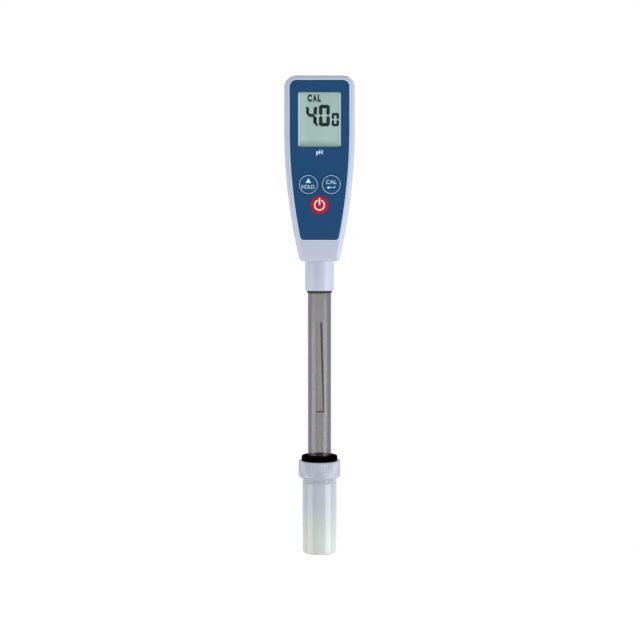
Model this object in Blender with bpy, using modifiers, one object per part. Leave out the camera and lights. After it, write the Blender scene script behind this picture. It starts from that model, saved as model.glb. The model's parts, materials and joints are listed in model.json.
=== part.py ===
"""Pen-type pH meter standing in its storage bottle, modelled as separate pieces.

Metres, +Z up. The electrode's axis is the Z axis, the keypad faces -Y and the bottle's
base stands on Z = 0. Sizes below are written in millimetres.
"""
import math

import bmesh
import bpy
from mathutils import Matrix, Vector

MM = 0.001

# Clearances
FIT = 0.3 * MM
SLIP = 0.15 * MM
FILM_GAP = 0.1 * MM
SEAM = 0.3 * MM
OVERSHOOT = 2.0 * MM

# Electrode
TUBE_OD = 12.0 * MM
TUBE_WALL = 1.25 * MM
TUBE_EXPOSED = 127.0 * MM
TUBE_INSET = 9.0 * MM
TIP_HEIGHT = 9.5 * MM
GUARD_SLOT_WIDTH = 4.0 * MM
GUARD_SLOT_HEIGHT = 7.0 * MM
STEM_OD = 3.6 * MM
STEM_WALL = 0.5 * MM
STEM_GRIP = 20.0 * MM
BULB_OD = 7.4 * MM
BULB_SETBACK = 0.8 * MM
JUNCTION_HEIGHT = 4.0 * MM
PLUG_LENGTH = 40.6 * MM
WIRE_OD = 0.5 * MM
WIRE_LENGTH = 46.5 * MM
WIRE_SLANT = 44.0 * MM
WIRE_BEND = 1.0 * MM
WIRE_START_DEGREES = 14.0
WIRE_SETTLE_DEGREES = 40.0
WIRE_HOOK_DEGREES = 70.0
LEAD_OD = 2.0 * MM

# Storage bottle
BOTTLE_BODY_HEIGHT = 37.3 * MM
BOTTLE_WALL = 1.5 * MM
BOTTLE_FLOOR = 1.5 * MM
BASE_ROUND = 1.2 * MM
NECK_STEP = 0.3 * MM
NECK_HEIGHT = 9.2 * MM
CAP_WALL = 1.45 * MM
CAP_THREAD_ROOM = 0.8 * MM
CAP_TOP_WALL = 2.0 * MM
CAP_RAISE = 2.0 * MM
CAP_ROUND = 0.7 * MM
CAP_CHAMFER = 1.3 * MM
CAP_FOOT = 0.3 * MM
CAP_RIB_FOOT = 3.2 * MM
CAP_RIBS = 40
CAP_RIB_DEPTH = 0.25 * MM
GROMMET_WALL = 1.05 * MM
GROMMET_LIP = 2.0 * MM
GROMMET_LIP_HEIGHT = 2.4 * MM
GROMMET_ROUND = 0.7 * MM
GROMMET_REACH = 3.0 * MM

# Handle
HANDLE_WIDTH = 36.1 * MM
HANDLE_LENGTH = 94.6 * MM
SIDE_STRAIGHT = 27.8 * MM
TOP_CORNER = 6.3 * MM
BOTTOM_CORNER = 1.2 * MM
FRONT_ROUND = 2.9 * MM
BACK_ROUND = 4.5 * MM
BACK_TAPER_LENGTH = 42.0 * MM
SHELL_WALL = 1.8 * MM
TONGUE_HEIGHT = 1.2 * MM
COLLAR_WALL = 1.4 * MM
COLLAR_LENGTH = 15.0 * MM
COLLAR_LIP = 0.7 * MM
COLLAR_LIP_HEIGHT = 2.0 * MM
COLLAR_ROUND = 0.8 * MM
SEAL_RING_HEIGHT = 0.9 * MM
SEAL_RING_WALL = 0.45 * MM

# Keypad and display
PANEL_MARGIN = 3.1 * MM
PANEL_BOTTOM = 10.7 * MM
PANEL_CORNER = 1.2 * MM
PANEL_THICKNESS = 0.5 * MM
PANEL_SUNK = 0.1 * MM
WINDOW_WIDTH = 21.8 * MM
WINDOW_HEIGHT = 27.8 * MM
WINDOW_DROP = 8.8 * MM
WINDOW_THICKNESS = 1.2 * MM
WINDOW_CORNER = 0.6 * MM
LCD_BORDER = 1.5 * MM
LCD_THICKNESS = 2.4 * MM
LCD_FRAME_WALL = 1.2 * MM
STRIP_THICKNESS = 2.2 * MM
STRIP_HEIGHT = 1.8 * MM
STRIP_END_GAP = 2.0 * MM
KEY_OD = 10.2 * MM
POWER_KEY_OD = 9.4 * MM
KEY_LIP = 0.5 * MM
KEY_LIP_HEIGHT = 0.8 * MM
KEY_SPACING = 0.5 * MM
KEY_ROW_DROP = 55.6 * MM
KEY_STAGGER = 0.3 * MM
KEY_TRAVEL = 0.5 * MM
KEY_ROUND = 0.25 * MM

# Circuit board
BOARD_THICKNESS = 1.6 * MM
BOARD_BOTTOM = 17.0 * MM
BOARD_GAP = 0.8 * MM
BOARD_BAY = 2.5 * MM
BOARD_CORNER = 1.0 * MM
CHIP_SIZE = 9.0 * MM
AMPLIFIER_SIZE = 5.0 * MM
CHIP_HEIGHT = 1.1 * MM
CHIP_GAP = 1.5 * MM
SWITCH_SIZE = 6.0 * MM
PLUNGER_OD = 3.2 * MM
PLUNGER_SUNK = 1.2 * MM
PEG_OD = 2.6 * MM

# Battery bay
CELL_OD = 10.5 * MM
CELL_LENGTH = 44.5 * MM
CELL_NUB_OD = 3.8 * MM
CELL_NUB_HEIGHT = 1.0 * MM
CELL_ROUND = 0.5 * MM
SPRING_LENGTH = 4.2 * MM
SPRING_OD = 6.0 * MM
SPRING_WIRE = 0.6 * MM
SPRING_TURNS = 3
CONTACT_THICKNESS = 0.5 * MM
CONTACT_WIDTH = 8.0 * MM
TRAY_WALL = 1.0 * MM
TRAY_DROP = 6.0 * MM
DOOR_THICKNESS = 1.2 * MM
DOOR_LAP = 1.6 * MM
DOOR_TONGUE = 0.7 * MM
DOOR_TONGUE_HEIGHT = 0.5 * MM
GRIP_GROOVES = 5
GRIP_PITCH = 2.0 * MM
GRIP_GROOVE_WIDTH = 1.0 * MM
GRIP_GROOVE_DEPTH = 0.4 * MM
GRIP_LENGTH = 13.0 * MM

# Case screws
BOSS_OD = 5.0 * MM
BOSS_SPREAD = 14.8 * MM
BOSS_HEIGHT = 13.0 * MM
SCREW_OD = 2.2 * MM
SCREW_HEAD_OD = 4.0 * MM
SCREW_HEAD_HEIGHT = 1.5 * MM
SCREW_HEAD_ROUND = 0.6 * MM
SCREW_SEAT = 3.0 * MM
SCREW_GRIP = 7.0 * MM

# Facets of round shapes
ROUND_STEPS = 36
MIDDLE_STEPS = 24
SMALL_STEPS = 16
SIDE_STEPS = 8
CORNER_STEPS = 4
EDGE_STEPS = 4
FILLET_STEPS = 2
WELD = 0.001 * MM

# The shells take many cuts in a row, where the exact solver can lose a facet
SHELL_SOLVER = "MANIFOLD"

# Bottle stack, from the tube outwards and from the base upwards
GROMMET_BORE_R = TUBE_OD / 2 + SLIP
BARREL_R = GROMMET_BORE_R + GROMMET_WALL
BOTTLE_BORE_R = BARREL_R + FIT
BOTTLE_R = BOTTLE_BORE_R + BOTTLE_WALL
NECK_R = BOTTLE_R - NECK_STEP
CAP_BORE_R = NECK_R + CAP_THREAD_ROOM
CAP_R = CAP_BORE_R + CAP_WALL
CAP_HOLE_R = BARREL_R + FIT
GROMMET_LIP_R = BARREL_R + GROMMET_LIP
RIM_Z = BOTTLE_BODY_HEIGHT + NECK_HEIGHT
CAP_BOTTOM_Z = BOTTLE_BODY_HEIGHT + CAP_RAISE
CAP_INNER_Z = RIM_Z + FIT
CAP_TOP_Z = CAP_INNER_Z + CAP_TOP_WALL
LIP_Z = CAP_TOP_Z + SLIP

# Electrode and handle stack
TIP_Z = BOTTLE_FLOOR + TIP_HEIGHT
COLLAR_Z = TIP_Z + TUBE_EXPOSED
HANDLE_Z = COLLAR_Z + COLLAR_LENGTH
HANDLE_TOP_Z = HANDLE_Z + HANDLE_LENGTH
TUBE_TOP_Z = HANDLE_Z + TUBE_INSET
TUBE_BORE_R = TUBE_OD / 2 - TUBE_WALL
PLUG_Z = TUBE_TOP_Z - PLUG_LENGTH
COLLAR_R = TUBE_OD / 2 + SLIP + COLLAR_WALL
COLLAR_LIP_R = COLLAR_R + COLLAR_LIP
COLLAR_LIP_Z = HANDLE_Z + SHELL_WALL + FIT

# Handle depth, from what is stacked inside it
TRAY_DEPTH = TRAY_WALL + FIT + CELL_OD
HANDLE_DEPTH = (SHELL_WALL + FIT + LCD_THICKNESS + STRIP_THICKNESS + BOARD_THICKNESS
                + BOARD_BAY + TRAY_DEPTH + FIT + SHELL_WALL)
FRONT_Y = -HANDLE_DEPTH / 2
BACK_Y = HANDLE_DEPTH / 2
INNER_FRONT_Y = FRONT_Y + SHELL_WALL
INNER_BACK_Y = BACK_Y - SHELL_WALL
LCD_Y = INNER_FRONT_Y + FIT
BOARD_Y = LCD_Y + LCD_THICKNESS + STRIP_THICKNESS
BOARD_BACK_Y = BOARD_Y + BOARD_THICKNESS
TRAY_BACK_Y = INNER_BACK_Y - FIT
TRAY_Y = TRAY_BACK_Y - TRAY_DEPTH
END_MARGIN = COLLAR_LIP + SHELL_WALL
END_HALF_WIDTH = COLLAR_R + END_MARGIN
END_BACK_Y = COLLAR_R + END_MARGIN + FIT

# Places on the keypad
KEY_PITCH = KEY_OD + 2 * KEY_LIP + KEY_SPACING
KEY_ROW_Z = HANDLE_TOP_Z - KEY_ROW_DROP
POWER_KEY_Z = KEY_ROW_Z - KEY_PITCH * math.sin(math.radians(60)) - KEY_STAGGER
KEY_PLACES = {
    "hold": (-KEY_PITCH / 2, KEY_ROW_Z, KEY_OD / 2),
    "cal": (KEY_PITCH / 2, KEY_ROW_Z, KEY_OD / 2),
    "power": (0.0, POWER_KEY_Z, POWER_KEY_OD / 2),
}
WINDOW_Z = HANDLE_TOP_Z - WINDOW_DROP - WINDOW_HEIGHT / 2
PANEL_Y = FRONT_Y + PANEL_SUNK
RECESS_Y = PANEL_Y + PANEL_THICKNESS + FILM_GAP

# Places in the battery bay
CELL_PITCH = CELL_OD + FIT
CONTACT_ROOM = FILM_GAP + CONTACT_THICKNESS + FIT
BAY_HALF_WIDTH = CELL_PITCH + FIT / 2
BAY_LENGTH = 2 * CONTACT_ROOM + SPRING_LENGTH + FIT + CELL_LENGTH
BAY_TOP_Z = HANDLE_TOP_Z - TRAY_DROP - TRAY_WALL
BAY_Z = BAY_TOP_Z - BAY_LENGTH
CELL_Y = TRAY_Y + TRAY_WALL + FIT + CELL_OD / 2
DOOR_HALF_WIDTH = BAY_HALF_WIDTH + DOOR_LAP
DOOR_Z = BAY_Z - DOOR_LAP
DOOR_Y = BACK_Y - DOOR_THICKNESS


def remove_start_objects():
    """Empty the scene, so that the script can be run again."""
    for obj in list(bpy.data.objects):
        bpy.data.objects.remove(obj, do_unlink=True)
    for group in list(bpy.data.collections):
        bpy.data.collections.remove(group)


remove_start_objects()
PARTS = bpy.data.collections.new("ph_meter")
CUTTERS = bpy.data.collections.new("ph_meter_cutters")
for group in (PARTS, CUTTERS):
    bpy.context.scene.collection.children.link(group)
STAND = bpy.data.objects.new("ph_meter_stand", None)
PARTS.objects.link(STAND)


def material(name, colour, roughness, metallic=0.0):
    """Principled material from a linear colour."""
    mat = bpy.data.materials.new(name)
    mat.use_nodes = True
    shader = mat.node_tree.nodes["Principled BSDF"]
    shader.inputs["Base Color"].default_value = (*colour, 1.0)
    shader.inputs["Roughness"].default_value = roughness
    shader.inputs["Metallic"].default_value = metallic
    mat.diffuse_color = (*colour, 1.0)
    return mat


CASE = material("case_abs", (0.50, 0.54, 0.65), 0.42)
PANEL_BLUE = material("panel_polycarbonate", (0.015, 0.069, 0.181), 0.30)
KEY_BLUE = material("key_blue", (0.015, 0.069, 0.181), 0.35)
KEY_RED = material("key_red", (0.42, 0.020, 0.030), 0.35)
CLEAR = material("window_acrylic", (0.80, 0.84, 0.84), 0.08)
LCD = material("lcd_glass", (0.35, 0.48, 0.46), 0.20)
FRAME_WHITE = material("frame_plastic", (0.75, 0.75, 0.74), 0.50)
RUBBER = material("black_rubber", (0.012, 0.012, 0.012), 0.60)
BOARD_GREEN = material("board_epoxy", (0.02, 0.16, 0.06), 0.45)
CHIP_BLACK = material("chip_epoxy", (0.02, 0.02, 0.02), 0.55)
STEEL = material("nickelled_steel", (0.60, 0.59, 0.57), 0.30, 1.0)
CELL_WRAP = material("cell_wrap", (0.30, 0.31, 0.33), 0.35, 0.6)
TUBE_GREY = material("tube_polycarbonate", (0.24, 0.235, 0.25), 0.18)
GLASS = material("electrode_glass", (0.70, 0.74, 0.74), 0.05)
CERAMIC = material("porous_ceramic", (0.75, 0.73, 0.68), 0.75)
POTTING = material("potting_resin", (0.16, 0.16, 0.17), 0.50)
SILVER = material("silver_chloride_wire", (0.10, 0.09, 0.10), 0.55, 0.4)
BOTTLE_WHITE = material("bottle_polythene", (0.60, 0.63, 0.64), 0.40)
CAP_WHITE = material("cap_polypropylene", (0.45, 0.48, 0.56), 0.45)


def add_part(name, mesh, mat, smooth_angle=35.0):
    """Link a mesh as a named piece, with its material and smooth round faces."""
    obj = bpy.data.objects.new(name, mesh)
    PARTS.objects.link(obj)
    obj.parent = STAND
    mesh.materials.clear()
    mesh.materials.append(mat)
    mesh.shade_smooth()
    mesh.set_sharp_from_angle(angle=math.radians(smooth_angle))
    return obj


def add_cutter(name, mesh):
    """Link a mesh as a tool for Boolean modifiers, left out of the render."""
    obj = bpy.data.objects.new(name, mesh)
    CUTTERS.objects.link(obj)
    obj.hide_render = True
    obj.display_type = "WIRE"
    return obj


def combine(target, tool, operation="DIFFERENCE", solver="EXACT"):
    """Add one Boolean modifier to a piece."""
    mod = target.modifiers.new(tool.name, "BOOLEAN")
    mod.object = tool
    mod.operation = operation
    mod.solver = solver


def mesh_from(bm, name):
    """Finish a bmesh as a mesh whose faces point out."""
    bmesh.ops.recalc_face_normals(bm, faces=bm.faces)
    mesh = bpy.data.meshes.new(name)
    bm.to_mesh(mesh)
    bm.free()
    return mesh


def block_mesh(name, low, high):
    """Box between two corners."""
    bm = bmesh.new()
    bmesh.ops.create_cube(bm, size=1.0)
    low, high = Vector(low), Vector(high)
    size = high - low
    bmesh.ops.scale(bm, vec=size, verts=bm.verts)
    bmesh.ops.translate(bm, vec=(low + high) / 2, verts=bm.verts)
    return mesh_from(bm, name)


def rod_mesh(name, radius, start, end, steps=SMALL_STEPS):
    """Cylinder between two points."""
    start, end = Vector(start), Vector(end)
    run = end - start
    turn = Vector((0, 0, 1)).rotation_difference(run).to_matrix().to_4x4()
    bm = bmesh.new()
    bmesh.ops.create_cone(bm, cap_ends=True, segments=steps, radius1=radius, radius2=radius,
                          depth=run.length)
    bmesh.ops.transform(bm, matrix=Matrix.Translation((start + end) / 2) @ turn, verts=bm.verts)
    return mesh_from(bm, name)


def shares(steps):
    """Even shares from 0 to 1."""
    return [step / steps for step in range(steps + 1)]


def arc(centre_r, centre_z, radius, start, end, steps):
    """Points on an arc of a turned profile, by angles in degrees from +r."""
    points = []
    for share in shares(steps):
        angle = math.radians(start + (end - start) * share)
        points.append((centre_r + radius * math.cos(angle), centre_z + radius * math.sin(angle)))
    return points


def turned(name, profile, mat, closed=True, steps=ROUND_STEPS):
    """Turn a profile of (radius, height) about Z. It runs down the outer side."""
    mesh = bpy.data.meshes.new(name)
    edges = [(i, i + 1) for i in range(len(profile) - 1)]
    if closed:
        edges.append((len(profile) - 1, 0))
    mesh.from_pydata([(r, 0.0, z) for r, z in profile], edges, [])
    obj = bpy.data.objects.new(name, mesh)
    PARTS.objects.link(obj)
    screw = obj.modifiers.new("turn", "SCREW")
    screw.axis = "Z"
    screw.steps = steps
    screw.render_steps = steps
    screw.use_merge_vertices = True
    screw.merge_threshold = WELD
    screw.use_smooth_shade = True
    baked = bake(obj)
    if mat is None:
        return baked
    return add_part(name, baked, mat)


def bake(obj):
    """Evaluated mesh of an object, welded; the object itself is removed."""
    bpy.context.view_layer.update()
    graph = bpy.context.evaluated_depsgraph_get()
    mesh = bpy.data.meshes.new_from_object(obj.evaluated_get(graph))
    mesh.name = obj.name
    mesh.transform(obj.matrix_world)
    bpy.data.objects.remove(obj, do_unlink=True)
    bm = bmesh.new()
    bm.from_mesh(mesh)
    bmesh.ops.remove_doubles(bm, verts=bm.verts, dist=WELD)
    bm.to_mesh(mesh)
    bm.free()
    return mesh


def plate_mesh(name, outline, front_y, thickness):
    """Flat plate in the XZ plane from an outline of (x, z) points."""
    curve = bpy.data.curves.new(name, "CURVE")
    curve.dimensions = "2D"
    curve.fill_mode = "BOTH"
    curve.extrude = thickness / 2
    spline = curve.splines.new("POLY")
    spline.points.add(len(outline) - 1)
    for point, (x, z) in zip(spline.points, outline):
        point.co = (x, z, 0.0, 1.0)
    spline.use_cyclic_u = True
    obj = bpy.data.objects.new(name, curve)
    PARTS.objects.link(obj)
    obj.rotation_euler = (math.radians(90), 0.0, 0.0)
    obj.location = (0.0, front_y + thickness / 2, 0.0)
    return bake(obj)


def wire(name, points, diameter, mat):
    """Round wire through a list of points."""
    curve = bpy.data.curves.new(name, "CURVE")
    curve.dimensions = "3D"
    curve.bevel_depth = diameter / 2
    curve.bevel_resolution = 1
    curve.use_fill_caps = True
    spline = curve.splines.new("POLY")
    spline.points.add(len(points) - 1)
    for point, place in zip(spline.points, points):
        point.co = (*place, 1.0)
    obj = bpy.data.objects.new(name, curve)
    PARTS.objects.link(obj)
    return add_part(name, bake(obj), mat, 60.0)


def mirrored(half):
    """Close a right-hand outline of (x, z) points with its mirror image."""
    left = [(-x, z) for x, z in reversed(half) if x > 0.0]
    return half + left


def side_arc():
    """Radius of the handle's sides, from the width lost over their curved stretch."""
    drop = HANDLE_WIDTH / 2 - END_HALF_WIDTH
    run = HANDLE_LENGTH - SIDE_STRAIGHT
    return (run * run + drop * drop) / (2 * drop)


def handle_outline(inset, bottom, corner):
    """Front view of the handle as (x, z) points, inset from its edge, with round corners."""
    radius = side_arc() - inset
    centre_x = HANDLE_WIDTH / 2 - side_arc()
    start_z = HANDLE_TOP_Z - SIDE_STRAIGHT
    top_corner = max(TOP_CORNER - inset, FIT)
    corner_z = bottom + corner
    corner_x = centre_x + math.sqrt((radius - corner) ** 2 - (start_z - corner_z) ** 2)
    swing = math.degrees(math.atan2(start_z - corner_z, corner_x - centre_x))
    half = arc(HANDLE_WIDTH / 2 - inset - top_corner, HANDLE_TOP_Z - inset - top_corner,
               top_corner, 90, 0, CORNER_STEPS)
    half += arc(centre_x, start_z, radius, 0, -swing, SIDE_STEPS)[:-1]
    half += arc(corner_x, corner_z, corner, -swing, -90, FILLET_STEPS)
    return mirrored(half)


def back_y(z):
    """Back of the handle at a height: flat above, curving in towards the collar."""
    run = max(HANDLE_Z + BACK_TAPER_LENGTH - z, 0.0) / BACK_TAPER_LENGTH
    return BACK_Y - (BACK_Y - END_BACK_Y) * min(run, 1.0) ** 2


def handle_solid(name, inset):
    """Handle as a loft of front-view outlines, with rounded front and back edges."""
    bm = bmesh.new()
    loops = []

    def add_ring(in_by, depth_at):
        corner = max(BOTTOM_CORNER - in_by, FIT)
        outline = handle_outline(in_by, HANDLE_Z + in_by, corner)
        ring = [bm.verts.new((x, depth_at(z), z)) for x, z in outline]
        loops.append([bm.edges.new((ring[i - 1], ring[i])) for i in range(len(ring))])

    front_round = max(FRONT_ROUND - inset, FIT)
    back_round = max(BACK_ROUND - inset, FIT)
    for share in shares(EDGE_STEPS):
        angle = math.radians(90 * share)
        y = FRONT_Y + inset + front_round * (1 - math.sin(angle))
        add_ring(inset + front_round * (1 - math.cos(angle)), lambda z: y)
    loops.reverse()
    for share in shares(EDGE_STEPS):
        angle = math.radians(90 * share)
        sunk = inset + back_round * (1 - math.sin(angle))
        add_ring(inset + back_round * (1 - math.cos(angle)), lambda z: back_y(z) - sunk)
    for near, far in zip(loops, loops[1:]):
        bmesh.ops.bridge_loops(bm, edges=near + far)
    bmesh.ops.contextual_create(bm, geom=loops[0])
    bmesh.ops.contextual_create(bm, geom=loops[-1])
    back_verts = {v for edge in loops[-1] for v in edge.verts}
    for vert in [v for v in back_verts if v.co.x > 0.0]:
        partner = min(back_verts, key=lambda v: (v.co - Vector((-vert.co.x, *vert.co.yz))).length)
        bmesh.ops.connect_verts(bm, verts=[vert, partner])
    return mesh_from(bm, name)


def rounded_box(half_width, low_z, high_z, radius):
    """Outline of a rectangle with rounded corners, as (x, z) points."""
    half = arc(half_width - radius, high_z - radius, radius, 90, 0, FILLET_STEPS)
    half += arc(half_width - radius, low_z + radius, radius, 0, -90, FILLET_STEPS)
    return mirrored(half)


def slab(name, low_y, high_y):
    """Tool that takes in the whole handle between two depths."""
    reach = HANDLE_LENGTH
    return add_cutter(name, block_mesh(name, (-reach, low_y, HANDLE_Z - reach),
                                       (reach, high_y, HANDLE_TOP_Z + reach)))


def make_shells():
    """Front and rear halves of the handle: moulded shells that meet in a tongue and groove."""
    front = add_part("front_shell", handle_solid("front_shell", 0.0), CASE)
    rear = add_part("rear_shell", handle_solid("rear_shell", 0.0), CASE)
    hollow = add_cutter("handle_hollow", handle_solid("handle_hollow", SHELL_WALL))
    tongue = add_cutter("seam_tongue", handle_solid("seam_tongue", (SHELL_WALL + FIT) / 2))
    combine(tongue, slab("tongue_slab", -OVERSHOOT, TONGUE_HEIGHT), "INTERSECT")
    groove = add_cutter("seam_groove", handle_solid("seam_groove", (SHELL_WALL - FIT) / 2))
    combine(groove, slab("groove_slab", -OVERSHOOT, TONGUE_HEIGHT + FIT), "INTERSECT")
    combine(front, slab("back_half", -SEAM / 2, HANDLE_DEPTH))
    combine(front, tongue, "UNION")
    combine(rear, slab("front_half", -HANDLE_DEPTH, SEAM / 2))
    combine(rear, groove)
    neck = add_cutter("neck_hole", rod_mesh("neck_hole", COLLAR_R + FIT,
                                            (0, 0, HANDLE_Z - OVERSHOOT),
                                            (0, 0, COLLAR_LIP_Z), ROUND_STEPS))
    seat = add_cutter("collar_seat", rod_mesh("collar_seat", COLLAR_LIP_R + FIT,
                                              (0, 0, COLLAR_LIP_Z - FIT - FILM_GAP),
                                              (0, 0, COLLAR_LIP_Z + COLLAR_LIP_HEIGHT + FIT),
                                              ROUND_STEPS))
    for shell in (front, rear):
        combine(shell, hollow)
        combine(shell, neck)
        combine(shell, seat)
    add_pegs(front)
    add_bosses(front, rear)
    open_keypad(front)
    open_battery_bay(rear)


def open_keypad(front):
    """Recess for the overlay, window opening and key holes in the front shell."""
    outline = handle_outline(PANEL_MARGIN, HANDLE_Z + PANEL_BOTTOM, PANEL_CORNER)
    recess = plate_mesh("panel_recess", outline, FRONT_Y - OVERSHOOT,
                        RECESS_Y - FRONT_Y + OVERSHOOT)
    combine(front, add_cutter("panel_recess", recess), solver=SHELL_SOLVER)
    room = FIT + FILM_GAP
    window = rounded_box(WINDOW_WIDTH / 2 + room, WINDOW_Z - WINDOW_HEIGHT / 2 - room,
                         WINDOW_Z + WINDOW_HEIGHT / 2 + room, WINDOW_CORNER)
    hole = plate_mesh("window_hole", window, FRONT_Y - OVERSHOOT, SHELL_WALL + 2 * OVERSHOOT)
    combine(front, add_cutter("window_hole", hole), solver=SHELL_SOLVER)
    for key, (x, z, radius) in KEY_PLACES.items():
        bore = rod_mesh(key + "_hole", radius + FIT, (x, FRONT_Y - OVERSHOOT, z),
                        (x, INNER_FRONT_Y + OVERSHOOT, z), ROUND_STEPS)
        combine(front, add_cutter(key + "_hole", bore), solver=SHELL_SOLVER)


def add_pegs(front):
    """Pegs on the front shell that carry the circuit board."""
    low_z = HANDLE_Z + BOARD_BOTTOM + PEG_OD
    high_z = KEY_ROW_Z + KEY_OD
    for peg_z in (low_z, high_z):
        drop = max(HANDLE_TOP_Z - SIDE_STRAIGHT - peg_z, 0.0)
        edge = HANDLE_WIDTH / 2 - drop * drop / (2 * side_arc())
        peg_x = edge - SHELL_WALL - BOARD_GAP - PEG_OD
        for side in (-1, 1):
            name = "peg_%d_%d" % (round(peg_z / MM), side)
            peg = rod_mesh(name, PEG_OD / 2, (side * peg_x, INNER_FRONT_Y - SHELL_WALL / 2, peg_z),
                           (side * peg_x, BOARD_Y - FIT, peg_z))
            combine(front, add_cutter(name, peg), "UNION", SHELL_SOLVER)


def add_bosses(front, rear):
    """Screw bosses in both shells, and the two case screws."""
    boss_z = HANDLE_Z + BOSS_HEIGHT
    hole_r = SCREW_OD / 2 + FIT
    for side, word in ((-1, "left"), (1, "right")):
        x = side * BOSS_SPREAD / 2
        post = rod_mesh("front_boss_" + word, BOSS_OD / 2,
                        (x, INNER_FRONT_Y - SHELL_WALL / 2, boss_z), (x, -SEAM / 2, boss_z))
        combine(front, add_cutter("front_boss_" + word, post), "UNION", SHELL_SOLVER)
        pilot = rod_mesh("pilot_" + word, hole_r, (x, -SCREW_GRIP - FIT, boss_z),
                         (x, OVERSHOOT, boss_z))
        combine(front, add_cutter("pilot_" + word, pilot), solver=SHELL_SOLVER)
        post = rod_mesh("rear_boss_" + word, BOSS_OD / 2 + SHELL_WALL / 2, (x, SEAM / 2, boss_z),
                        (x, back_y(boss_z) - SHELL_WALL / 2, boss_z))
        combine(rear, add_cutter("rear_boss_" + word, post), "UNION", SHELL_SOLVER)
        bore = rod_mesh("screw_hole_" + word, hole_r, (x, -OVERSHOOT, boss_z),
                        (x, BACK_Y, boss_z))
        combine(rear, add_cutter("screw_hole_" + word, bore), solver=SHELL_SOLVER)
        sink = rod_mesh("screw_sink_" + word, SCREW_HEAD_OD / 2 + FIT, (x, SCREW_SEAT, boss_z),
                        (x, BACK_Y + OVERSHOOT, boss_z))
        combine(rear, add_cutter("screw_sink_" + word, sink), solver=SHELL_SOLVER)
        make_screw(word, x, boss_z)


def make_screw(word, x, z):
    """Case screw with a domed head, turned about its own axis and laid along Y."""
    head_r = SCREW_HEAD_OD / 2
    shank_r = SCREW_OD / 2
    seat = SCREW_SEAT + FIT
    head_y = seat + SCREW_HEAD_HEIGHT
    profile = [(0.0, head_y)]
    profile += arc(head_r - SCREW_HEAD_ROUND, head_y - SCREW_HEAD_ROUND, SCREW_HEAD_ROUND, 90, 0,
                   FILLET_STEPS)
    profile += [(head_r, seat), (shank_r, seat), (shank_r, shank_r - SCREW_GRIP),
                (0.0, -SCREW_GRIP)]
    screw = turned("case_screw_" + word, profile, STEEL, closed=False, steps=SMALL_STEPS)
    screw.rotation_euler = (math.radians(-90), 0.0, 0.0)
    screw.location = (x, 0.0, z)


def open_battery_bay(rear):
    """Battery opening with its sliding door: tongues on the door run in grooves."""
    top_z = HANDLE_TOP_Z + OVERSHOOT
    bay = block_mesh("bay_hole", (-BAY_HALF_WIDTH, TRAY_Y, BAY_Z),
                     (BAY_HALF_WIDTH, BACK_Y + OVERSHOOT, BAY_TOP_Z))
    combine(rear, add_cutter("bay_hole", bay), solver=SHELL_SOLVER)
    tongue_x = DOOR_HALF_WIDTH + DOOR_TONGUE
    tongue_y = DOOR_Y + DOOR_TONGUE_HEIGHT
    slot = block_mesh("door_slot", (-DOOR_HALF_WIDTH - SLIP, DOOR_Y - FILM_GAP, DOOR_Z - SLIP),
                      (DOOR_HALF_WIDTH + SLIP, BACK_Y + OVERSHOOT, top_z))
    combine(rear, add_cutter("door_slot", slot), solver=SHELL_SOLVER)
    groove = block_mesh("door_groove", (-tongue_x - SLIP, DOOR_Y - FILM_GAP, DOOR_Z - SLIP),
                        (tongue_x + SLIP, tongue_y + FILM_GAP, top_z))
    combine(rear, add_cutter("door_groove", groove), solver=SHELL_SOLVER)
    door = add_part("battery_door", handle_solid("battery_door", 0.0), CASE)
    plank = block_mesh("door_plank", (-DOOR_HALF_WIDTH, DOOR_Y, DOOR_Z),
                       (DOOR_HALF_WIDTH, BACK_Y + OVERSHOOT, top_z))
    plank = add_cutter("door_plank", plank)
    tongue = block_mesh("door_tongue", (-tongue_x, DOOR_Y, DOOR_Z), (tongue_x, tongue_y, top_z))
    combine(plank, add_cutter("door_tongue", tongue), "UNION")
    combine(door, plank, "INTERSECT")
    for index in range(GRIP_GROOVES):
        z = DOOR_Z + (index + 2) * GRIP_PITCH
        low = (-GRIP_LENGTH / 2, BACK_Y - GRIP_GROOVE_DEPTH, z)
        high = (GRIP_LENGTH / 2, BACK_Y + OVERSHOOT, z + GRIP_GROOVE_WIDTH)
        name = "grip_groove_%d" % index
        combine(door, add_cutter(name, block_mesh(name, low, high)))


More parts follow.
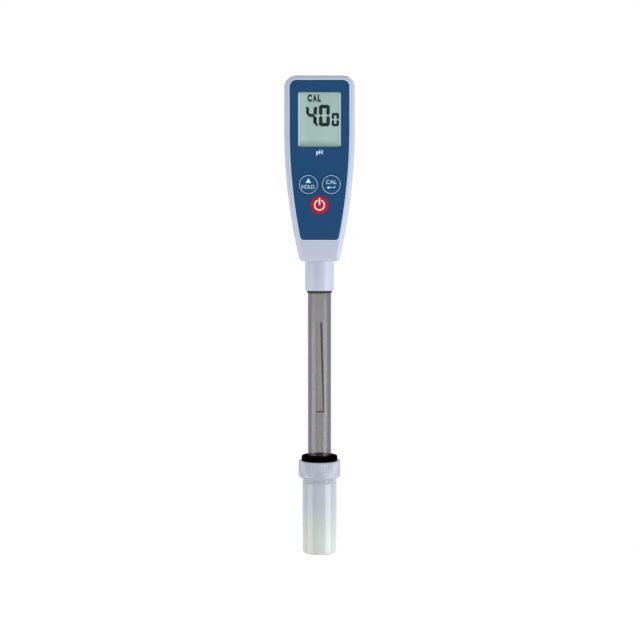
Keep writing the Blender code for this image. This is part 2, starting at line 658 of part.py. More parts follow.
def make_keypad():
    """Overlay, window, keys and the switches behind them."""
    outline = handle_outline(PANEL_MARGIN + SLIP, HANDLE_Z + PANEL_BOTTOM + SLIP,
                             PANEL_CORNER - SLIP)
    panel = add_part("panel_overlay", plate_mesh("panel_overlay", outline, PANEL_Y,
                                                 PANEL_THICKNESS), PANEL_BLUE)
    window = rounded_box(WINDOW_WIDTH / 2, WINDOW_Z - WINDOW_HEIGHT / 2,
                         WINDOW_Z + WINDOW_HEIGHT / 2, WINDOW_CORNER)
    hole = plate_mesh("panel_window", window, FRONT_Y - OVERSHOOT, 2 * OVERSHOOT)
    combine(panel, add_cutter("panel_window", hole))
    pane = rounded_box(WINDOW_WIDTH / 2 - FILM_GAP, WINDOW_Z - WINDOW_HEIGHT / 2 + FILM_GAP,
                       WINDOW_Z + WINDOW_HEIGHT / 2 - FILM_GAP, WINDOW_CORNER)
    add_part("display_window", plate_mesh("display_window", pane, PANEL_Y, WINDOW_THICKNESS),
             CLEAR)
    lip_y = INNER_FRONT_Y + FIT
    lip_back_y = lip_y + KEY_LIP_HEIGHT
    plunger_y = lip_back_y + SLIP
    housing_y = plunger_y + 2 * KEY_TRAVEL
    for key, (x, z, radius) in KEY_PLACES.items():
        bore = rod_mesh(key + "_panel_hole", radius + SLIP, (x, FRONT_Y - OVERSHOOT, z),
                        (x, FRONT_Y + OVERSHOOT, z), ROUND_STEPS)
        combine(panel, add_cutter(key + "_panel_hole", bore))
        top = -FRONT_Y
        profile = [(0.0, top)]
        profile += arc(radius - KEY_ROUND, top - KEY_ROUND, KEY_ROUND, 90, 0, FILLET_STEPS)
        profile += [(radius, -lip_y), (radius + KEY_LIP, -lip_y),
                    (radius + KEY_LIP, -lip_back_y), (0.0, -lip_back_y)]
        mat = KEY_RED if key == "power" else KEY_BLUE
        body = turned(key + "_key", profile, mat, closed=False)
        body.rotation_euler = (math.radians(90), 0.0, 0.0)
        body.location = (x, 0.0, z)
        make_switch(key, x, z, plunger_y, housing_y)


def make_switch(key, x, z, plunger_y, housing_y):
    """Tactile switch on the board: a square housing and the plunger that the key pushes."""
    half = SWITCH_SIZE / 2
    back = BOARD_Y - FILM_GAP
    housing = add_part(key + "_switch", block_mesh(key + "_switch", (x - half, housing_y, z - half),
                                                   (x + half, back, z + half)), CHIP_BLACK)
    sunk_y = housing_y + PLUNGER_SUNK
    well = rod_mesh(key + "_well", PLUNGER_OD / 2 + SLIP, (x, housing_y - OVERSHOOT, z),
                    (x, sunk_y + KEY_TRAVEL + SLIP, z))
    combine(housing, add_cutter(key + "_well", well))
    pin = rod_mesh(key + "_plunger", PLUNGER_OD / 2, (x, plunger_y, z), (x, sunk_y, z))
    add_part(key + "_plunger", pin, FRAME_WHITE)


def make_board():
    """Circuit board with the LCD in its frame, connector strips and chips."""
    outline = handle_outline(SHELL_WALL + BOARD_GAP, HANDLE_Z + BOARD_BOTTOM, BOARD_CORNER)
    add_part("main_board", plate_mesh("main_board", outline, BOARD_Y, BOARD_THICKNESS),
             BOARD_GREEN)
    half_x = WINDOW_WIDTH / 2 + LCD_BORDER
    half_z = WINDOW_HEIGHT / 2 + LCD_BORDER
    back = LCD_Y + LCD_THICKNESS
    add_part("lcd_glass", block_mesh("lcd_glass", (-half_x, LCD_Y, WINDOW_Z - half_z),
                                     (half_x, back, WINDOW_Z + half_z)), LCD)
    ring = FIT + LCD_FRAME_WALL
    frame_mesh = block_mesh("lcd_frame", (-half_x - ring, LCD_Y, WINDOW_Z - half_z - ring),
                            (half_x + ring, BOARD_Y - FIT, WINDOW_Z + half_z + ring))
    frame = add_part("lcd_frame", frame_mesh, FRAME_WHITE)
    seat = block_mesh("lcd_seat", (-half_x - FIT, LCD_Y - OVERSHOOT, WINDOW_Z - half_z - FIT),
                      (half_x + FIT, BOARD_Y + OVERSHOOT, WINDOW_Z + half_z + FIT))
    combine(frame, add_cutter("lcd_seat", seat))
    strip_x = half_x - STRIP_END_GAP
    for word, low_z in (("upper", WINDOW_Z + half_z - STRIP_HEIGHT), ("lower", WINDOW_Z - half_z)):
        low = (-strip_x, back + FILM_GAP, low_z)
        high = (strip_x, BOARD_Y - FILM_GAP, low_z + STRIP_HEIGHT)
        add_part("connector_strip_" + word, block_mesh("connector_strip_" + word, low, high),
                 RUBBER)
    chip_y = BOARD_BACK_Y + FILM_GAP
    amplifier_z = KEY_ROW_Z + (CHIP_SIZE + AMPLIFIER_SIZE) / 2 + CHIP_GAP
    for name, size, z in (("controller_chip", CHIP_SIZE, KEY_ROW_Z),
                          ("amplifier_chip", AMPLIFIER_SIZE, amplifier_z)):
        low = (-size / 2, chip_y, z - size / 2)
        high = (size / 2, chip_y + CHIP_HEIGHT, z + size / 2)
        add_part(name, block_mesh(name, low, high), CHIP_BLACK)


def cell_profile():
    """Turned profile of a cell standing on its flat end, with its nub on top."""
    radius = CELL_OD / 2
    can_z = CELL_LENGTH - CELL_NUB_HEIGHT
    profile = [(0.0, CELL_LENGTH), (CELL_NUB_OD / 2, CELL_LENGTH), (CELL_NUB_OD / 2, can_z)]
    profile += arc(radius - CELL_ROUND, can_z - CELL_ROUND, CELL_ROUND, 90, 0, FILLET_STEPS)
    profile += arc(radius - CELL_ROUND, CELL_ROUND, CELL_ROUND, 0, -90, FILLET_STEPS)
    return profile + [(0.0, 0.0)]


def spring_points(x, base_z):
    """Points of a contact spring standing on a height."""
    steps_per_turn = 10
    count = SPRING_TURNS * steps_per_turn
    radius = (SPRING_OD - SPRING_WIRE) / 2
    rise = SPRING_LENGTH - FIT - SPRING_WIRE
    points = []
    for step in range(count + 1):
        angle = 2 * math.pi * step / steps_per_turn
        z = base_z + SPRING_WIRE / 2 + rise * step / count
        points.append((x + radius * math.cos(angle), CELL_Y + radius * math.sin(angle), z))
    return points


def make_battery_bay():
    """Tray with two cells head to tail, their springs and contact plates."""
    half = BAY_HALF_WIDTH + TRAY_WALL
    tray = add_part("battery_tray", block_mesh("battery_tray", (-half, TRAY_Y, BAY_Z - TRAY_WALL),
                                               (half, TRAY_BACK_Y, BAY_TOP_Z + TRAY_WALL)),
                    FRAME_WHITE)
    room = block_mesh("tray_room", (-BAY_HALF_WIDTH, TRAY_Y + TRAY_WALL, BAY_Z),
                      (BAY_HALF_WIDTH, TRAY_BACK_Y + OVERSHOOT, BAY_TOP_Z))
    combine(tray, add_cutter("tray_room", room))
    low_plate_z = BAY_Z + FILM_GAP
    high_plate_z = BAY_TOP_Z - FILM_GAP - CONTACT_THICKNESS
    spring_base_z = low_plate_z + CONTACT_THICKNESS + FIT
    half_plate = CONTACT_WIDTH / 2
    plates = (("contact_plate_left", -CELL_PITCH / 2 - half_plate, -CELL_PITCH / 2 + half_plate,
               low_plate_z),
              ("contact_plate_right", CELL_PITCH / 2 - half_plate, CELL_PITCH / 2 + half_plate,
               low_plate_z),
              ("bridge_plate", -CELL_PITCH / 2 - half_plate, CELL_PITCH / 2 + half_plate,
               high_plate_z))
    for name, low_x, high_x, z in plates:
        plate = block_mesh(name, (low_x, CELL_Y - half_plate, z),
                           (high_x, CELL_Y + half_plate, z + CONTACT_THICKNESS))
        add_part(name, plate, STEEL)
    profile = cell_profile()
    left = turned("battery_cell_left", profile, CELL_WRAP, closed=False, steps=MIDDLE_STEPS)
    left.location = (-CELL_PITCH / 2, CELL_Y, spring_base_z + SPRING_LENGTH)
    right = turned("battery_cell_right", profile, CELL_WRAP, closed=False, steps=MIDDLE_STEPS)
    right.rotation_euler = (math.radians(180), 0.0, 0.0)
    right.location = (CELL_PITCH / 2, CELL_Y, low_plate_z + CONTACT_THICKNESS + FIT + CELL_LENGTH)
    wire("contact_spring_left", spring_points(-CELL_PITCH / 2, spring_base_z), SPRING_WIRE, STEEL)
    upper_z = high_plate_z - SPRING_LENGTH
    wire("contact_spring_right", spring_points(CELL_PITCH / 2, upper_z), SPRING_WIRE, STEEL)


def make_electrode():
    """Collar and the combination electrode: tube, plug, glass stem, junction and wires."""
    bore_r = TUBE_OD / 2 + SLIP
    lip_top_z = COLLAR_LIP_Z + COLLAR_LIP_HEIGHT
    profile = [(bore_r, lip_top_z), (COLLAR_LIP_R, lip_top_z), (COLLAR_LIP_R, COLLAR_LIP_Z),
               (COLLAR_R, COLLAR_LIP_Z)]
    profile += arc(COLLAR_R - COLLAR_ROUND, COLLAR_Z + COLLAR_ROUND, COLLAR_ROUND, 0, -90,
                   CORNER_STEPS)
    turned("neck_collar", profile + [(bore_r, COLLAR_Z)], CASE)
    ring_top = COLLAR_Z - FILM_GAP
    ring_r = bore_r + SEAL_RING_WALL
    turned("collar_seal", [(bore_r, ring_top), (ring_r, ring_top),
                           (ring_r, ring_top - SEAL_RING_HEIGHT / 2),
                           (bore_r, ring_top - SEAL_RING_HEIGHT)], RUBBER)
    tube_r = TUBE_OD / 2
    tube = turned("electrode_tube", [(TUBE_BORE_R, TUBE_TOP_Z), (tube_r, TUBE_TOP_Z),
                                     (tube_r, TIP_Z), (TUBE_BORE_R, TIP_Z)], TUBE_GREY)
    half = GUARD_SLOT_WIDTH / 2
    slot_top = TIP_Z + GUARD_SLOT_HEIGHT
    for name, low, high in (("guard_slot_x", (-tube_r * 2, -half), (tube_r * 2, half)),
                            ("guard_slot_y", (-half, -tube_r * 2), (half, tube_r * 2))):
        slot = block_mesh(name, (*low, TIP_Z - OVERSHOOT), (*high, slot_top))
        combine(tube, add_cutter(name, slot))
    make_stem(slot_top)
    make_plug_and_wires()


def make_stem(slot_top):
    """Glass stem, open at the top and blown into the sensing bulb, in its porous junction."""
    stem_r = STEM_OD / 2
    inner_r = stem_r - STEM_WALL
    bulb_r = BULB_OD / 2
    bulb_z = TIP_Z + BULB_SETBACK + bulb_r
    stem_top = PLUG_Z + STEM_GRIP
    meet = math.degrees(math.acos(stem_r / bulb_r))
    inner_bulb_r = bulb_r - STEM_WALL
    inner_meet = math.degrees(math.acos(inner_r / inner_bulb_r))
    profile = arc(0.0, bulb_z, inner_bulb_r, -90, inner_meet, SIDE_STEPS)
    profile[0] = (0.0, bulb_z - inner_bulb_r)
    profile += [(inner_r, stem_top), (stem_r, stem_top)]
    profile += arc(0.0, bulb_z, bulb_r, meet, -90, SIDE_STEPS)
    profile[-1] = (0.0, bulb_z - bulb_r)
    turned("glass_stem", profile, GLASS, closed=False, steps=MIDDLE_STEPS)
    outer_r = TUBE_BORE_R - SLIP
    hole_r = stem_r + SLIP
    low_z = max(slot_top, bulb_z + bulb_r) + FIT
    turned("junction_ring", [(hole_r, low_z + JUNCTION_HEIGHT), (outer_r, low_z + JUNCTION_HEIGHT),
                             (outer_r, low_z), (hole_r, low_z)], CERAMIC, steps=MIDDLE_STEPS)


def make_plug_and_wires():
    """Potted plug in the top of the tube, the reference wire below it and the lead above."""
    outer_r = TUBE_BORE_R - SLIP
    hole_r = STEM_OD / 2 + SLIP
    hole_top = PLUG_Z + STEM_GRIP + FIT
    turned("electrode_plug", [(0.0, hole_top), (hole_r, hole_top), (hole_r, PLUG_Z),
                              (outer_r, PLUG_Z), (outer_r, TUBE_TOP_Z), (0.0, TUBE_TOP_Z)][::-1],
           POTTING, closed=False, steps=MIDDLE_STEPS)
    reach = (hole_r + TUBE_BORE_R) / 2
    top_z = PLUG_Z - FIT
    hook_z = top_z - WIRE_LENGTH

    def round_stem(degrees, z):
        angle = math.radians(degrees)
        return (reach * math.sin(angle), -reach * math.cos(angle), z)

    points = []
    swing = WIRE_SETTLE_DEGREES - WIRE_START_DEGREES
    for share in shares(CORNER_STEPS):
        points.append(round_stem(WIRE_START_DEGREES + swing * share, top_z - WIRE_SLANT * share))
    points.append(round_stem(WIRE_SETTLE_DEGREES, hook_z + WIRE_BEND))
    for share in shares(CORNER_STEPS):
        points.append(round_stem(WIRE_SETTLE_DEGREES - WIRE_HOOK_DEGREES * share, hook_z))
    wire("reference_wire", points, WIRE_OD, SILVER)
    start_z = TUBE_TOP_Z + FIT
    board_y = BOARD_BACK_Y + FIT + LEAD_OD / 2
    end_z = HANDLE_Z + BOARD_BOTTOM + 2 * LEAD_OD
    lead = []
    for share in shares(SIDE_STEPS):
        ease = share * share * (3 - 2 * share)
        lead.append((0.0, board_y * ease, start_z + (end_z - start_z) * share))
    wire("electrode_lead", lead, LEAD_OD, RUBBER)


def make_bottle():
    """Storage bottle, its ribbed screw cap and the rubber grommet that grips the electrode."""
    profile = [(0.0, BOTTLE_FLOOR), (BOTTLE_BORE_R, BOTTLE_FLOOR), (BOTTLE_BORE_R, RIM_Z),
               (NECK_R, RIM_Z)]
    profile += arc(NECK_R, BOTTLE_BODY_HEIGHT - NECK_STEP, NECK_STEP, 90, 0, FILLET_STEPS)
    profile += arc(BOTTLE_R - BASE_ROUND, BASE_ROUND, BASE_ROUND, 0, -90, CORNER_STEPS)
    turned("storage_bottle", profile + [(0.0, 0.0)], BOTTLE_WHITE, closed=False)
    make_cap()
    profile = [(GROMMET_BORE_R, LIP_Z + GROMMET_LIP_HEIGHT)]
    profile += arc(GROMMET_LIP_R - GROMMET_ROUND, LIP_Z + GROMMET_LIP_HEIGHT - GROMMET_ROUND,
                   GROMMET_ROUND, 90, 0, CORNER_STEPS)
    low_z = CAP_INNER_Z - GROMMET_REACH
    profile += [(GROMMET_LIP_R, LIP_Z), (BARREL_R, LIP_Z), (BARREL_R, low_z),
                (GROMMET_BORE_R, low_z)]
    turned("seal_grommet", profile, RUBBER)


def make_cap():
    """Screw cap: every second column of its turned side is drawn in to leave ribs above a plain foot."""
    profile = [(CAP_HOLE_R, CAP_TOP_Z)]
    profile += arc(CAP_R - CAP_ROUND, CAP_TOP_Z - CAP_ROUND, CAP_ROUND, 90, 0, FILLET_STEPS)
    profile += [(CAP_R, CAP_BOTTOM_Z + CAP_RIB_FOOT), (CAP_R, CAP_BOTTOM_Z + CAP_CHAMFER),
                (CAP_BORE_R + CAP_FOOT, CAP_BOTTOM_Z), (CAP_BORE_R, CAP_BOTTOM_Z),
                (CAP_BORE_R, CAP_INNER_Z), (CAP_HOLE_R, CAP_INNER_Z)]
    columns = 2 * CAP_RIBS
    mesh = turned("bottle_cap", profile, None, steps=columns)
    for vert in mesh.vertices:
        column = round(math.atan2(vert.co.y, vert.co.x) / (2 * math.pi) * columns)
        on_side = math.hypot(vert.co.x, vert.co.y) > CAP_R - CAP_ROUND / 2
        if column % 2 and on_side and vert.co.z > CAP_BOTTOM_Z + CAP_CHAMFER + WELD:
            drawn_in = (CAP_R - CAP_RIB_DEPTH) / CAP_R
            vert.co.x *= drawn_in
            vert.co.y *= drawn_in
    add_part("bottle_cap", mesh, CAP_WHITE, 20.0)


make_shells()
make_keypad()
make_board()
make_battery_bay()
make_electrode()
make_bottle()
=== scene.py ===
"""A pen-type pH meter standing in its storage bottle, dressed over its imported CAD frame."""
import json
import math

import bmesh
import bpy
from mathutils import Matrix, Vector

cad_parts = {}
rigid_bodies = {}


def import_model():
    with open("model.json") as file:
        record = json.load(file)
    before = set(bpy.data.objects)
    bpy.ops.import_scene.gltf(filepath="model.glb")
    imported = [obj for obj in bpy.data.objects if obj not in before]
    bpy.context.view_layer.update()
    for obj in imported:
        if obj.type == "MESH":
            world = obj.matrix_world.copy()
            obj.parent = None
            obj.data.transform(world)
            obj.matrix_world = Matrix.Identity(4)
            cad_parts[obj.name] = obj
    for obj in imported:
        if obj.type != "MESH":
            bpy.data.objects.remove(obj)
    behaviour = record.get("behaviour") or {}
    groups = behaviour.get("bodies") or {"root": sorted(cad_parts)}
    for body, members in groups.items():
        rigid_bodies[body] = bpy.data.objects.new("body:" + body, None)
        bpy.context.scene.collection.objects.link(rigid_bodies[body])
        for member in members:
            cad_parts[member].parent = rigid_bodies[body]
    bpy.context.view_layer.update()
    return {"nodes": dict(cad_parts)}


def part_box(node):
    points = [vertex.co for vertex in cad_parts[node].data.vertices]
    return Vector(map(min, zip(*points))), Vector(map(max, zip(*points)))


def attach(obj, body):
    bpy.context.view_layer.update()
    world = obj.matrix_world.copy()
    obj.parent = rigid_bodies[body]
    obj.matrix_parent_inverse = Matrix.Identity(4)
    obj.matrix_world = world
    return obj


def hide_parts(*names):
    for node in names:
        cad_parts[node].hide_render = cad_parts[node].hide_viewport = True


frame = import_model()


# The photographer's view
# A long lens, almost level with the middle of the meter, so that its sides stay upright.
# The image is square, and the electrode's axis stands just left of its middle.
MM = 0.001
IMAGE_SIDE = 640
FOCAL_PIXELS = 1250
SENSOR_WIDTH = 36.0
CAMERA_DISTANCE = 652.2 * MM
CAMERA_SIDE = 0.26 * MM
CAMERA_RISE = math.radians(3.0)
AIM_HEIGHT = 122.3 * MM


def add_object(name, data):
    """Put a new object into the scene."""
    made = bpy.data.objects.new(name, data)
    bpy.context.scene.collection.objects.link(made)
    return made


camera_data = bpy.data.cameras.new("studio_camera")
camera_data.sensor_width = SENSOR_WIDTH
camera_data.lens = SENSOR_WIDTH * FOCAL_PIXELS / IMAGE_SIDE
camera = add_object("studio_camera", camera_data)
camera.location = (CAMERA_SIDE, -CAMERA_DISTANCE * math.cos(CAMERA_RISE),
                   AIM_HEIGHT + CAMERA_DISTANCE * math.sin(CAMERA_RISE))
camera.rotation_euler = (math.pi / 2 - CAMERA_RISE, 0.0, 0.0)
bpy.context.scene.camera = camera
bpy.context.scene.view_settings.view_transform = "Standard"


# The studio: a round white floor, white air, four softboxes and two reflecting cards
# The matt floor takes the meter's shadow, and lies low enough for the bottle to be drawn off.
# It isn't mirrored in the tube and the bottle, and hides no low softbox from them.
FLOOR_R = 0.34
FLOOR_DROP = 0.06
FLOOR_WHITE = "#EBECED"
FLOOR_GLOW = 0.45
AIR_LIGHT = 0.42
# Name, degrees round from the front, degrees above the meter's middle, watts
LAMPS = (("right_softbox", 60.0, -13.0, 4.7), ("left_softbox", -66.0, -13.0, 3.0),
         ("top_softbox", 0.0, 66.0, 1.0), ("rear_softbox", 180.0, 45.0, 2.0),
         ("right_card", 100.0, 0.0, 1.0), ("left_card", -100.0, 0.0, 0.8))
LAMP_DISTANCE = 0.8
LAMP_WIDTH = 0.54
LAMP_HEIGHT = 0.36
ROUND_STEPS = 96


def linear(code):
    """Turn an sRGB hex colour into the linear colour that a shader takes."""
    shares = [int(code[i:i + 2], 16) / 255 for i in (1, 3, 5)]
    return [s / 12.92 if s <= 0.04045 else ((s + 0.055) / 1.055) ** 2.4 for s in shares] + [1.0]


def add_node(tree, kind, inputs=(), **settings):
    """Add a node, set its properties, and fill or link its inputs."""
    made = tree.nodes.new("ShaderNode" + kind)
    for name, value in settings.items():
        setattr(made, name, value)
    for name, value in dict(inputs).items():
        if isinstance(value, bpy.types.NodeSocket):
            tree.links.new(value, made.inputs[name])
        else:
            made.inputs[name].default_value = value
    return made


def begin_finish(name, roughness, ior=1.5, specular=0.5, metallic=0.0, alpha=1.0):
    """Start a finish: the material, its node tree and its shader."""
    finish = bpy.data.materials.new(name)
    finish.use_nodes = True
    shader = finish.node_tree.nodes["Principled BSDF"]
    for socket, value in (("Roughness", roughness), ("IOR", ior), ("Specular IOR Level", specular),
                          ("Metallic", metallic), ("Alpha", alpha)):
        shader.inputs[socket].default_value = value
    return finish, finish.node_tree, shader


def mesh_object(name, bm):
    """Turn a bmesh into an object in the scene."""
    mesh = bpy.data.meshes.new(name)
    bm.to_mesh(mesh)
    bm.free()
    return add_object(name, mesh)


def seen_ray(tree):
    """One for a ray from the camera or by way of a mirror or glass, nought for any other."""
    path = add_node(tree, "LightPath").outputs
    direct = add_node(tree, "Math", {0: path["Is Camera Ray"], 1: path["Is Glossy Ray"]},
                      operation="MAXIMUM").outputs[0]
    return add_node(tree, "Math", {0: direct, 1: path["Is Transmission Ray"]},
                    operation="MAXIMUM").outputs[0]


table, tree, shader = begin_finish("matt_white_card", 0.7)
shader.inputs["Base Color"].default_value = linear(FLOOR_WHITE)
shader.inputs["Emission Color"].default_value = linear(FLOOR_WHITE)
glow = add_node(tree, "Math", {0: seen_ray(tree), 1: FLOOR_GLOW}, operation="MULTIPLY")
tree.links.new(glow.outputs[0], shader.inputs["Emission Strength"])
bm = bmesh.new()
bmesh.ops.create_circle(bm, cap_ends=True, segments=ROUND_STEPS, radius=FLOOR_R,
                        matrix=Matrix.Translation((0.0, 0.0, -FLOOR_DROP)))
floor = mesh_object("studio_floor", bm)
floor.data.materials.append(table)
floor.visible_glossy = False
floor.visible_shadow = False

air = bpy.data.worlds.new("white_air")
air.use_nodes = True
bpy.context.scene.world = air
tree = air.node_tree
strength = add_node(tree, "Math", {0: seen_ray(tree), 1: 1.0 - AIR_LIGHT, 2: AIR_LIGHT},
                    operation="MULTIPLY_ADD")
background = tree.nodes["Background"]
background.inputs["Color"].default_value = (1.0, 1.0, 1.0, 1.0)
tree.links.new(strength.outputs[0], background.inputs["Strength"])

for name, side, rise, watts in LAMPS:
    lamp_data = bpy.data.lights.new(name, "AREA")
    lamp_data.shape = "RECTANGLE"
    lamp_data.size = LAMP_WIDTH
    lamp_data.size_y = LAMP_HEIGHT
    lamp_data.energy = watts
    lamp = add_object(name, lamp_data)
    turn, lift = math.radians(side), math.radians(rise)
    away = Vector((math.sin(turn) * math.cos(lift), -math.cos(turn) * math.cos(lift),
                   math.sin(lift)))
    lamp.location = Vector((0.0, 0.0, AIM_HEIGHT)) + away * LAMP_DISTANCE
    lamp.rotation_euler = away.to_track_quat("Z", "Y").to_euler()
    lamp.visible_camera = False
    lamp.visible_glossy = not name.endswith("card")


# Front shell of the handle
# Half of a moulded ABS case, lofted from its rounded front edge back to the seam, where a
# thin tongue enters the rear half. A shallow recess takes the printed panel.
SIDE_STRAIGHT = 27.8 * MM
TOP_CORNER = 6.3 * MM
BOTTOM_CORNER = 2.0 * MM
FRONT_ROUND = 2.9 * MM
WALL = 1.8 * MM
SEAM = 0.3 * MM
TONGUE_INSET = 1.05 * MM
FIT = 0.3 * MM
SLIP = 0.15 * MM
FILM_GAP = 0.1 * MM
PANEL_MARGIN = 2.46 * MM
PANEL_CORNER = 1.7 * MM
PANEL_RISE = 0.14 * MM
PANEL_DEPTH = 0.7 * MM
RIM_ROUND = 0.08 * MM
COLLAR_LIP = 0.7 * MM
KEY_LIP = 0.5 * MM
FINE = 0.0005 * MM
CORNER_STEPS = 10
SIDE_STEPS = 28
FILLET_STEPS = 4
EDGE_STEPS = 9
BEVEL_STEPS = 6
SHARP = 32.0
PANEL_DROP = 0.48 * MM

front_low, front_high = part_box("front_shell")
collar_low, collar_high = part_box("neck_collar")
panel_low, panel_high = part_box("panel_overlay")
window_low, window_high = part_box("display_window")
HALF_WIDTH = front_high.x
HANDLE_TOP = front_high.z
HANDLE_BOTTOM = front_low.z
FRONT_Y = front_low.y
TONGUE_Y = front_high.y
PANEL_BOTTOM = panel_low.z - PANEL_DROP
COLLAR_LIP_R = collar_high.x
COLLAR_R = COLLAR_LIP_R - COLLAR_LIP
END_HALF_WIDTH = COLLAR_LIP_R + WALL
keys = {}
for key in ("hold", "cal", "power"):
    key_low, key_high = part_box(key + "_key")
    keys[key] = (key_low + key_high) / 2, (key_high.x - key_low.x) / 2


def cloudy_finish(name, roughness, pale, deep, size, grain=None, detail=3.0,
                  stretch=(1.0, 1.0, 1.0), **more):
    """Finish that drifts softly between two colours, over a size in millimetres.

    Its grain, if it has one, is given by its size and depth in millimetres.
    """
    finish, tree, shader = begin_finish(name, roughness, **more)
    place = add_node(tree, "TexCoord").outputs["Object"]
    drawn = add_node(tree, "Mapping", {"Vector": place, "Scale": stretch}).outputs["Vector"]
    cloud = add_node(tree, "TexNoise",
                     {"Vector": drawn, "Scale": 1 / (size * MM), "Detail": detail})
    colour = add_node(tree, "Mix", {0: cloud.outputs["Fac"], 6: linear(pale), 7: linear(deep)},
                      data_type="RGBA")
    tree.links.new(colour.outputs[2], shader.inputs["Base Color"])
    if grain:
        width, depth = grain
        pits = add_node(tree, "TexNoise",
                        {"Vector": place, "Scale": 1 / (width * MM), "Detail": 2.0})
        bump = add_node(tree, "Bump", {"Height": pits.outputs["Fac"], "Distance": depth * MM})
        tree.links.new(bump.outputs["Normal"], shader.inputs["Normal"])
    return finish


# Moulded ABS: satin and a little cloudy, with the fine spark-eroded grain of its tool, which
# is drawn at 0.3 mm, about three times its real size, so that it shows
moulded_abs = cloudy_finish("moulded_abs", 0.42, "#BBC1D2", "#B5BBCC", 14,
                            grain=(0.3, 0.002), ior=1.53)


def line_to(bm, vert, x, z):
    """Draw a straight edge from a vertex to a place in the front view."""
    made = bmesh.ops.extrude_vert_indiv(bm, verts=[vert])["verts"][0]
    made.co = (x, 0.0, z)
    return made


def arc_round(bm, vert, x, z, degrees, steps):
    """Draw an arc from a vertex round a centre in the front view, clockwise."""
    made = bmesh.ops.spin(bm, geom=[vert], cent=(x, 0.0, z), axis=(0.0, 1.0, 0.0),
                          angle=math.radians(degrees), steps=steps)
    return next(item for item in made["geom_last"] if isinstance(item, bmesh.types.BMVert))


def half_outline(bm, inset, bottom, corner, depth_at, rise=0.0):
    """Right half of the handle's outline at an inset, set back to a depth for each height."""
    known_verts, known_edges = set(bm.verts), set(bm.edges)
    drop = HALF_WIDTH - END_HALF_WIDTH
    run = HANDLE_TOP - SIDE_STRAIGHT - HANDLE_BOTTOM
    sweep = (run * run + drop * drop) / (2 * drop)
    centre_x, centre_z = HALF_WIDTH - sweep, HANDLE_TOP - SIDE_STRAIGHT
    corner_z = bottom + corner
    corner_x = centre_x + math.sqrt((sweep - inset - corner) ** 2 - (centre_z - corner_z) ** 2)
    swing = math.degrees(math.atan2(centre_z - corner_z, corner_x - centre_x))
    top = HANDLE_TOP + rise
    vert = bm.verts.new((0.0, 0.0, top - inset))
    vert = line_to(bm, vert, HALF_WIDTH - TOP_CORNER, top - inset)
    vert = arc_round(bm, vert, HALF_WIDTH - TOP_CORNER, top - TOP_CORNER, 90, CORNER_STEPS)
    vert = line_to(bm, vert, HALF_WIDTH - inset, centre_z)
    vert = arc_round(bm, vert, centre_x, centre_z, swing, SIDE_STEPS)
    vert = arc_round(bm, vert, corner_x, corner_z, 90 - swing, FILLET_STEPS)
    line_to(bm, vert, 0.0, bottom)
    for vert in set(bm.verts) - known_verts:
        vert.co.y = depth_at(vert.co.z)
    return list(set(bm.edges) - known_edges)


def even_outline(bm, inset, depth_at):
    """Half outline that keeps the same inset all round."""
    return half_outline(bm, inset, HANDLE_BOTTOM + inset, max(BOTTOM_CORNER - inset, FIT),
                        depth_at)


def panel_outline(bm, inset, depth):
    """Half outline at an inset from the edge of the panel's recess."""
    return half_outline(bm, PANEL_MARGIN + inset, PANEL_BOTTOM + inset,
                        PANEL_CORNER - min(inset, 0.0), lambda z: depth, PANEL_RISE)


def loft(bm, outlines):
    """Skin half outlines, close both ends across the middle, and mirror the whole."""
    for near, far in zip(outlines, outlines[1:]):
        bmesh.ops.bridge_loops(bm, edges=near + far)
    for outline in (outlines[0], outlines[-1]):
        for item in bmesh.ops.extrude_edge_only(bm, edges=outline)["geom"]:
            if isinstance(item, bmesh.types.BMVert):
                item.co.x = 0.0
    bmesh.ops.mirror(bm, geom=[*bm.verts, *bm.edges, *bm.faces], axis="X", merge_dist=FINE)
    bmesh.ops.remove_doubles(bm, verts=bm.verts, dist=FINE)
    bmesh.ops.dissolve_degenerate(bm, dist=FINE, edges=bm.edges)
    bmesh.ops.recalc_face_normals(bm, faces=bm.faces)


def edge_rounding(radius, steps=EDGE_STEPS):
    """Steps of a quarter round: how far in and how far back each lies."""
    angles = [math.pi / 2 * step / steps for step in range(steps + 1)]
    return [(radius * (1 - math.sin(angle)), radius * (1 - math.cos(angle))) for angle in angles]


def smooth_round(mesh, sharp_degrees):
    """Shade round faces smooth and keep the edges that turn sharply."""
    mesh.shade_smooth()
    mesh.set_sharp_from_angle(angle=math.radians(sharp_degrees))


def new_piece(name, bm, finish, body, node="", sharp_degrees=SHARP):
    """Turn a bmesh into a named piece that rides on a body and stands for a CAD node."""
    piece = mesh_object(name, bm)
    piece.data.materials.append(finish)
    smooth_round(piece.data, sharp_degrees)
    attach(piece, body)
    if node:
        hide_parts(node)
    return piece


def final_mesh(made):
    """Mesh of an object as its modifiers or its curves leave it."""
    graph = bpy.context.evaluated_depsgraph_get()
    return bpy.data.meshes.new_from_object(made.evaluated_get(graph))


def carve(piece, tool, operation="DIFFERENCE", sharp_degrees=SHARP):
    """Cut a piece with a bmesh, or join it on, and keep the result as its mesh."""
    tool_object = mesh_object("tool", tool)
    cut = piece.modifiers.new("cut", "BOOLEAN")
    cut.operation = operation
    cut.solver = "MANIFOLD"
    cut.object = tool_object
    old = piece.data
    piece.data = final_mesh(piece)
    piece.modifiers.remove(cut)
    smooth_round(piece.data, sharp_degrees)
    bpy.data.batch_remove((old, tool_object, tool_object.data))
    piece.data.name = piece.name


def even_shading(piece):
    """Let the large faces rule the shading, so that flats stay flat beside round edges."""
    piece.modifiers.new("even_shading", "WEIGHTED_NORMAL").keep_sharp = True


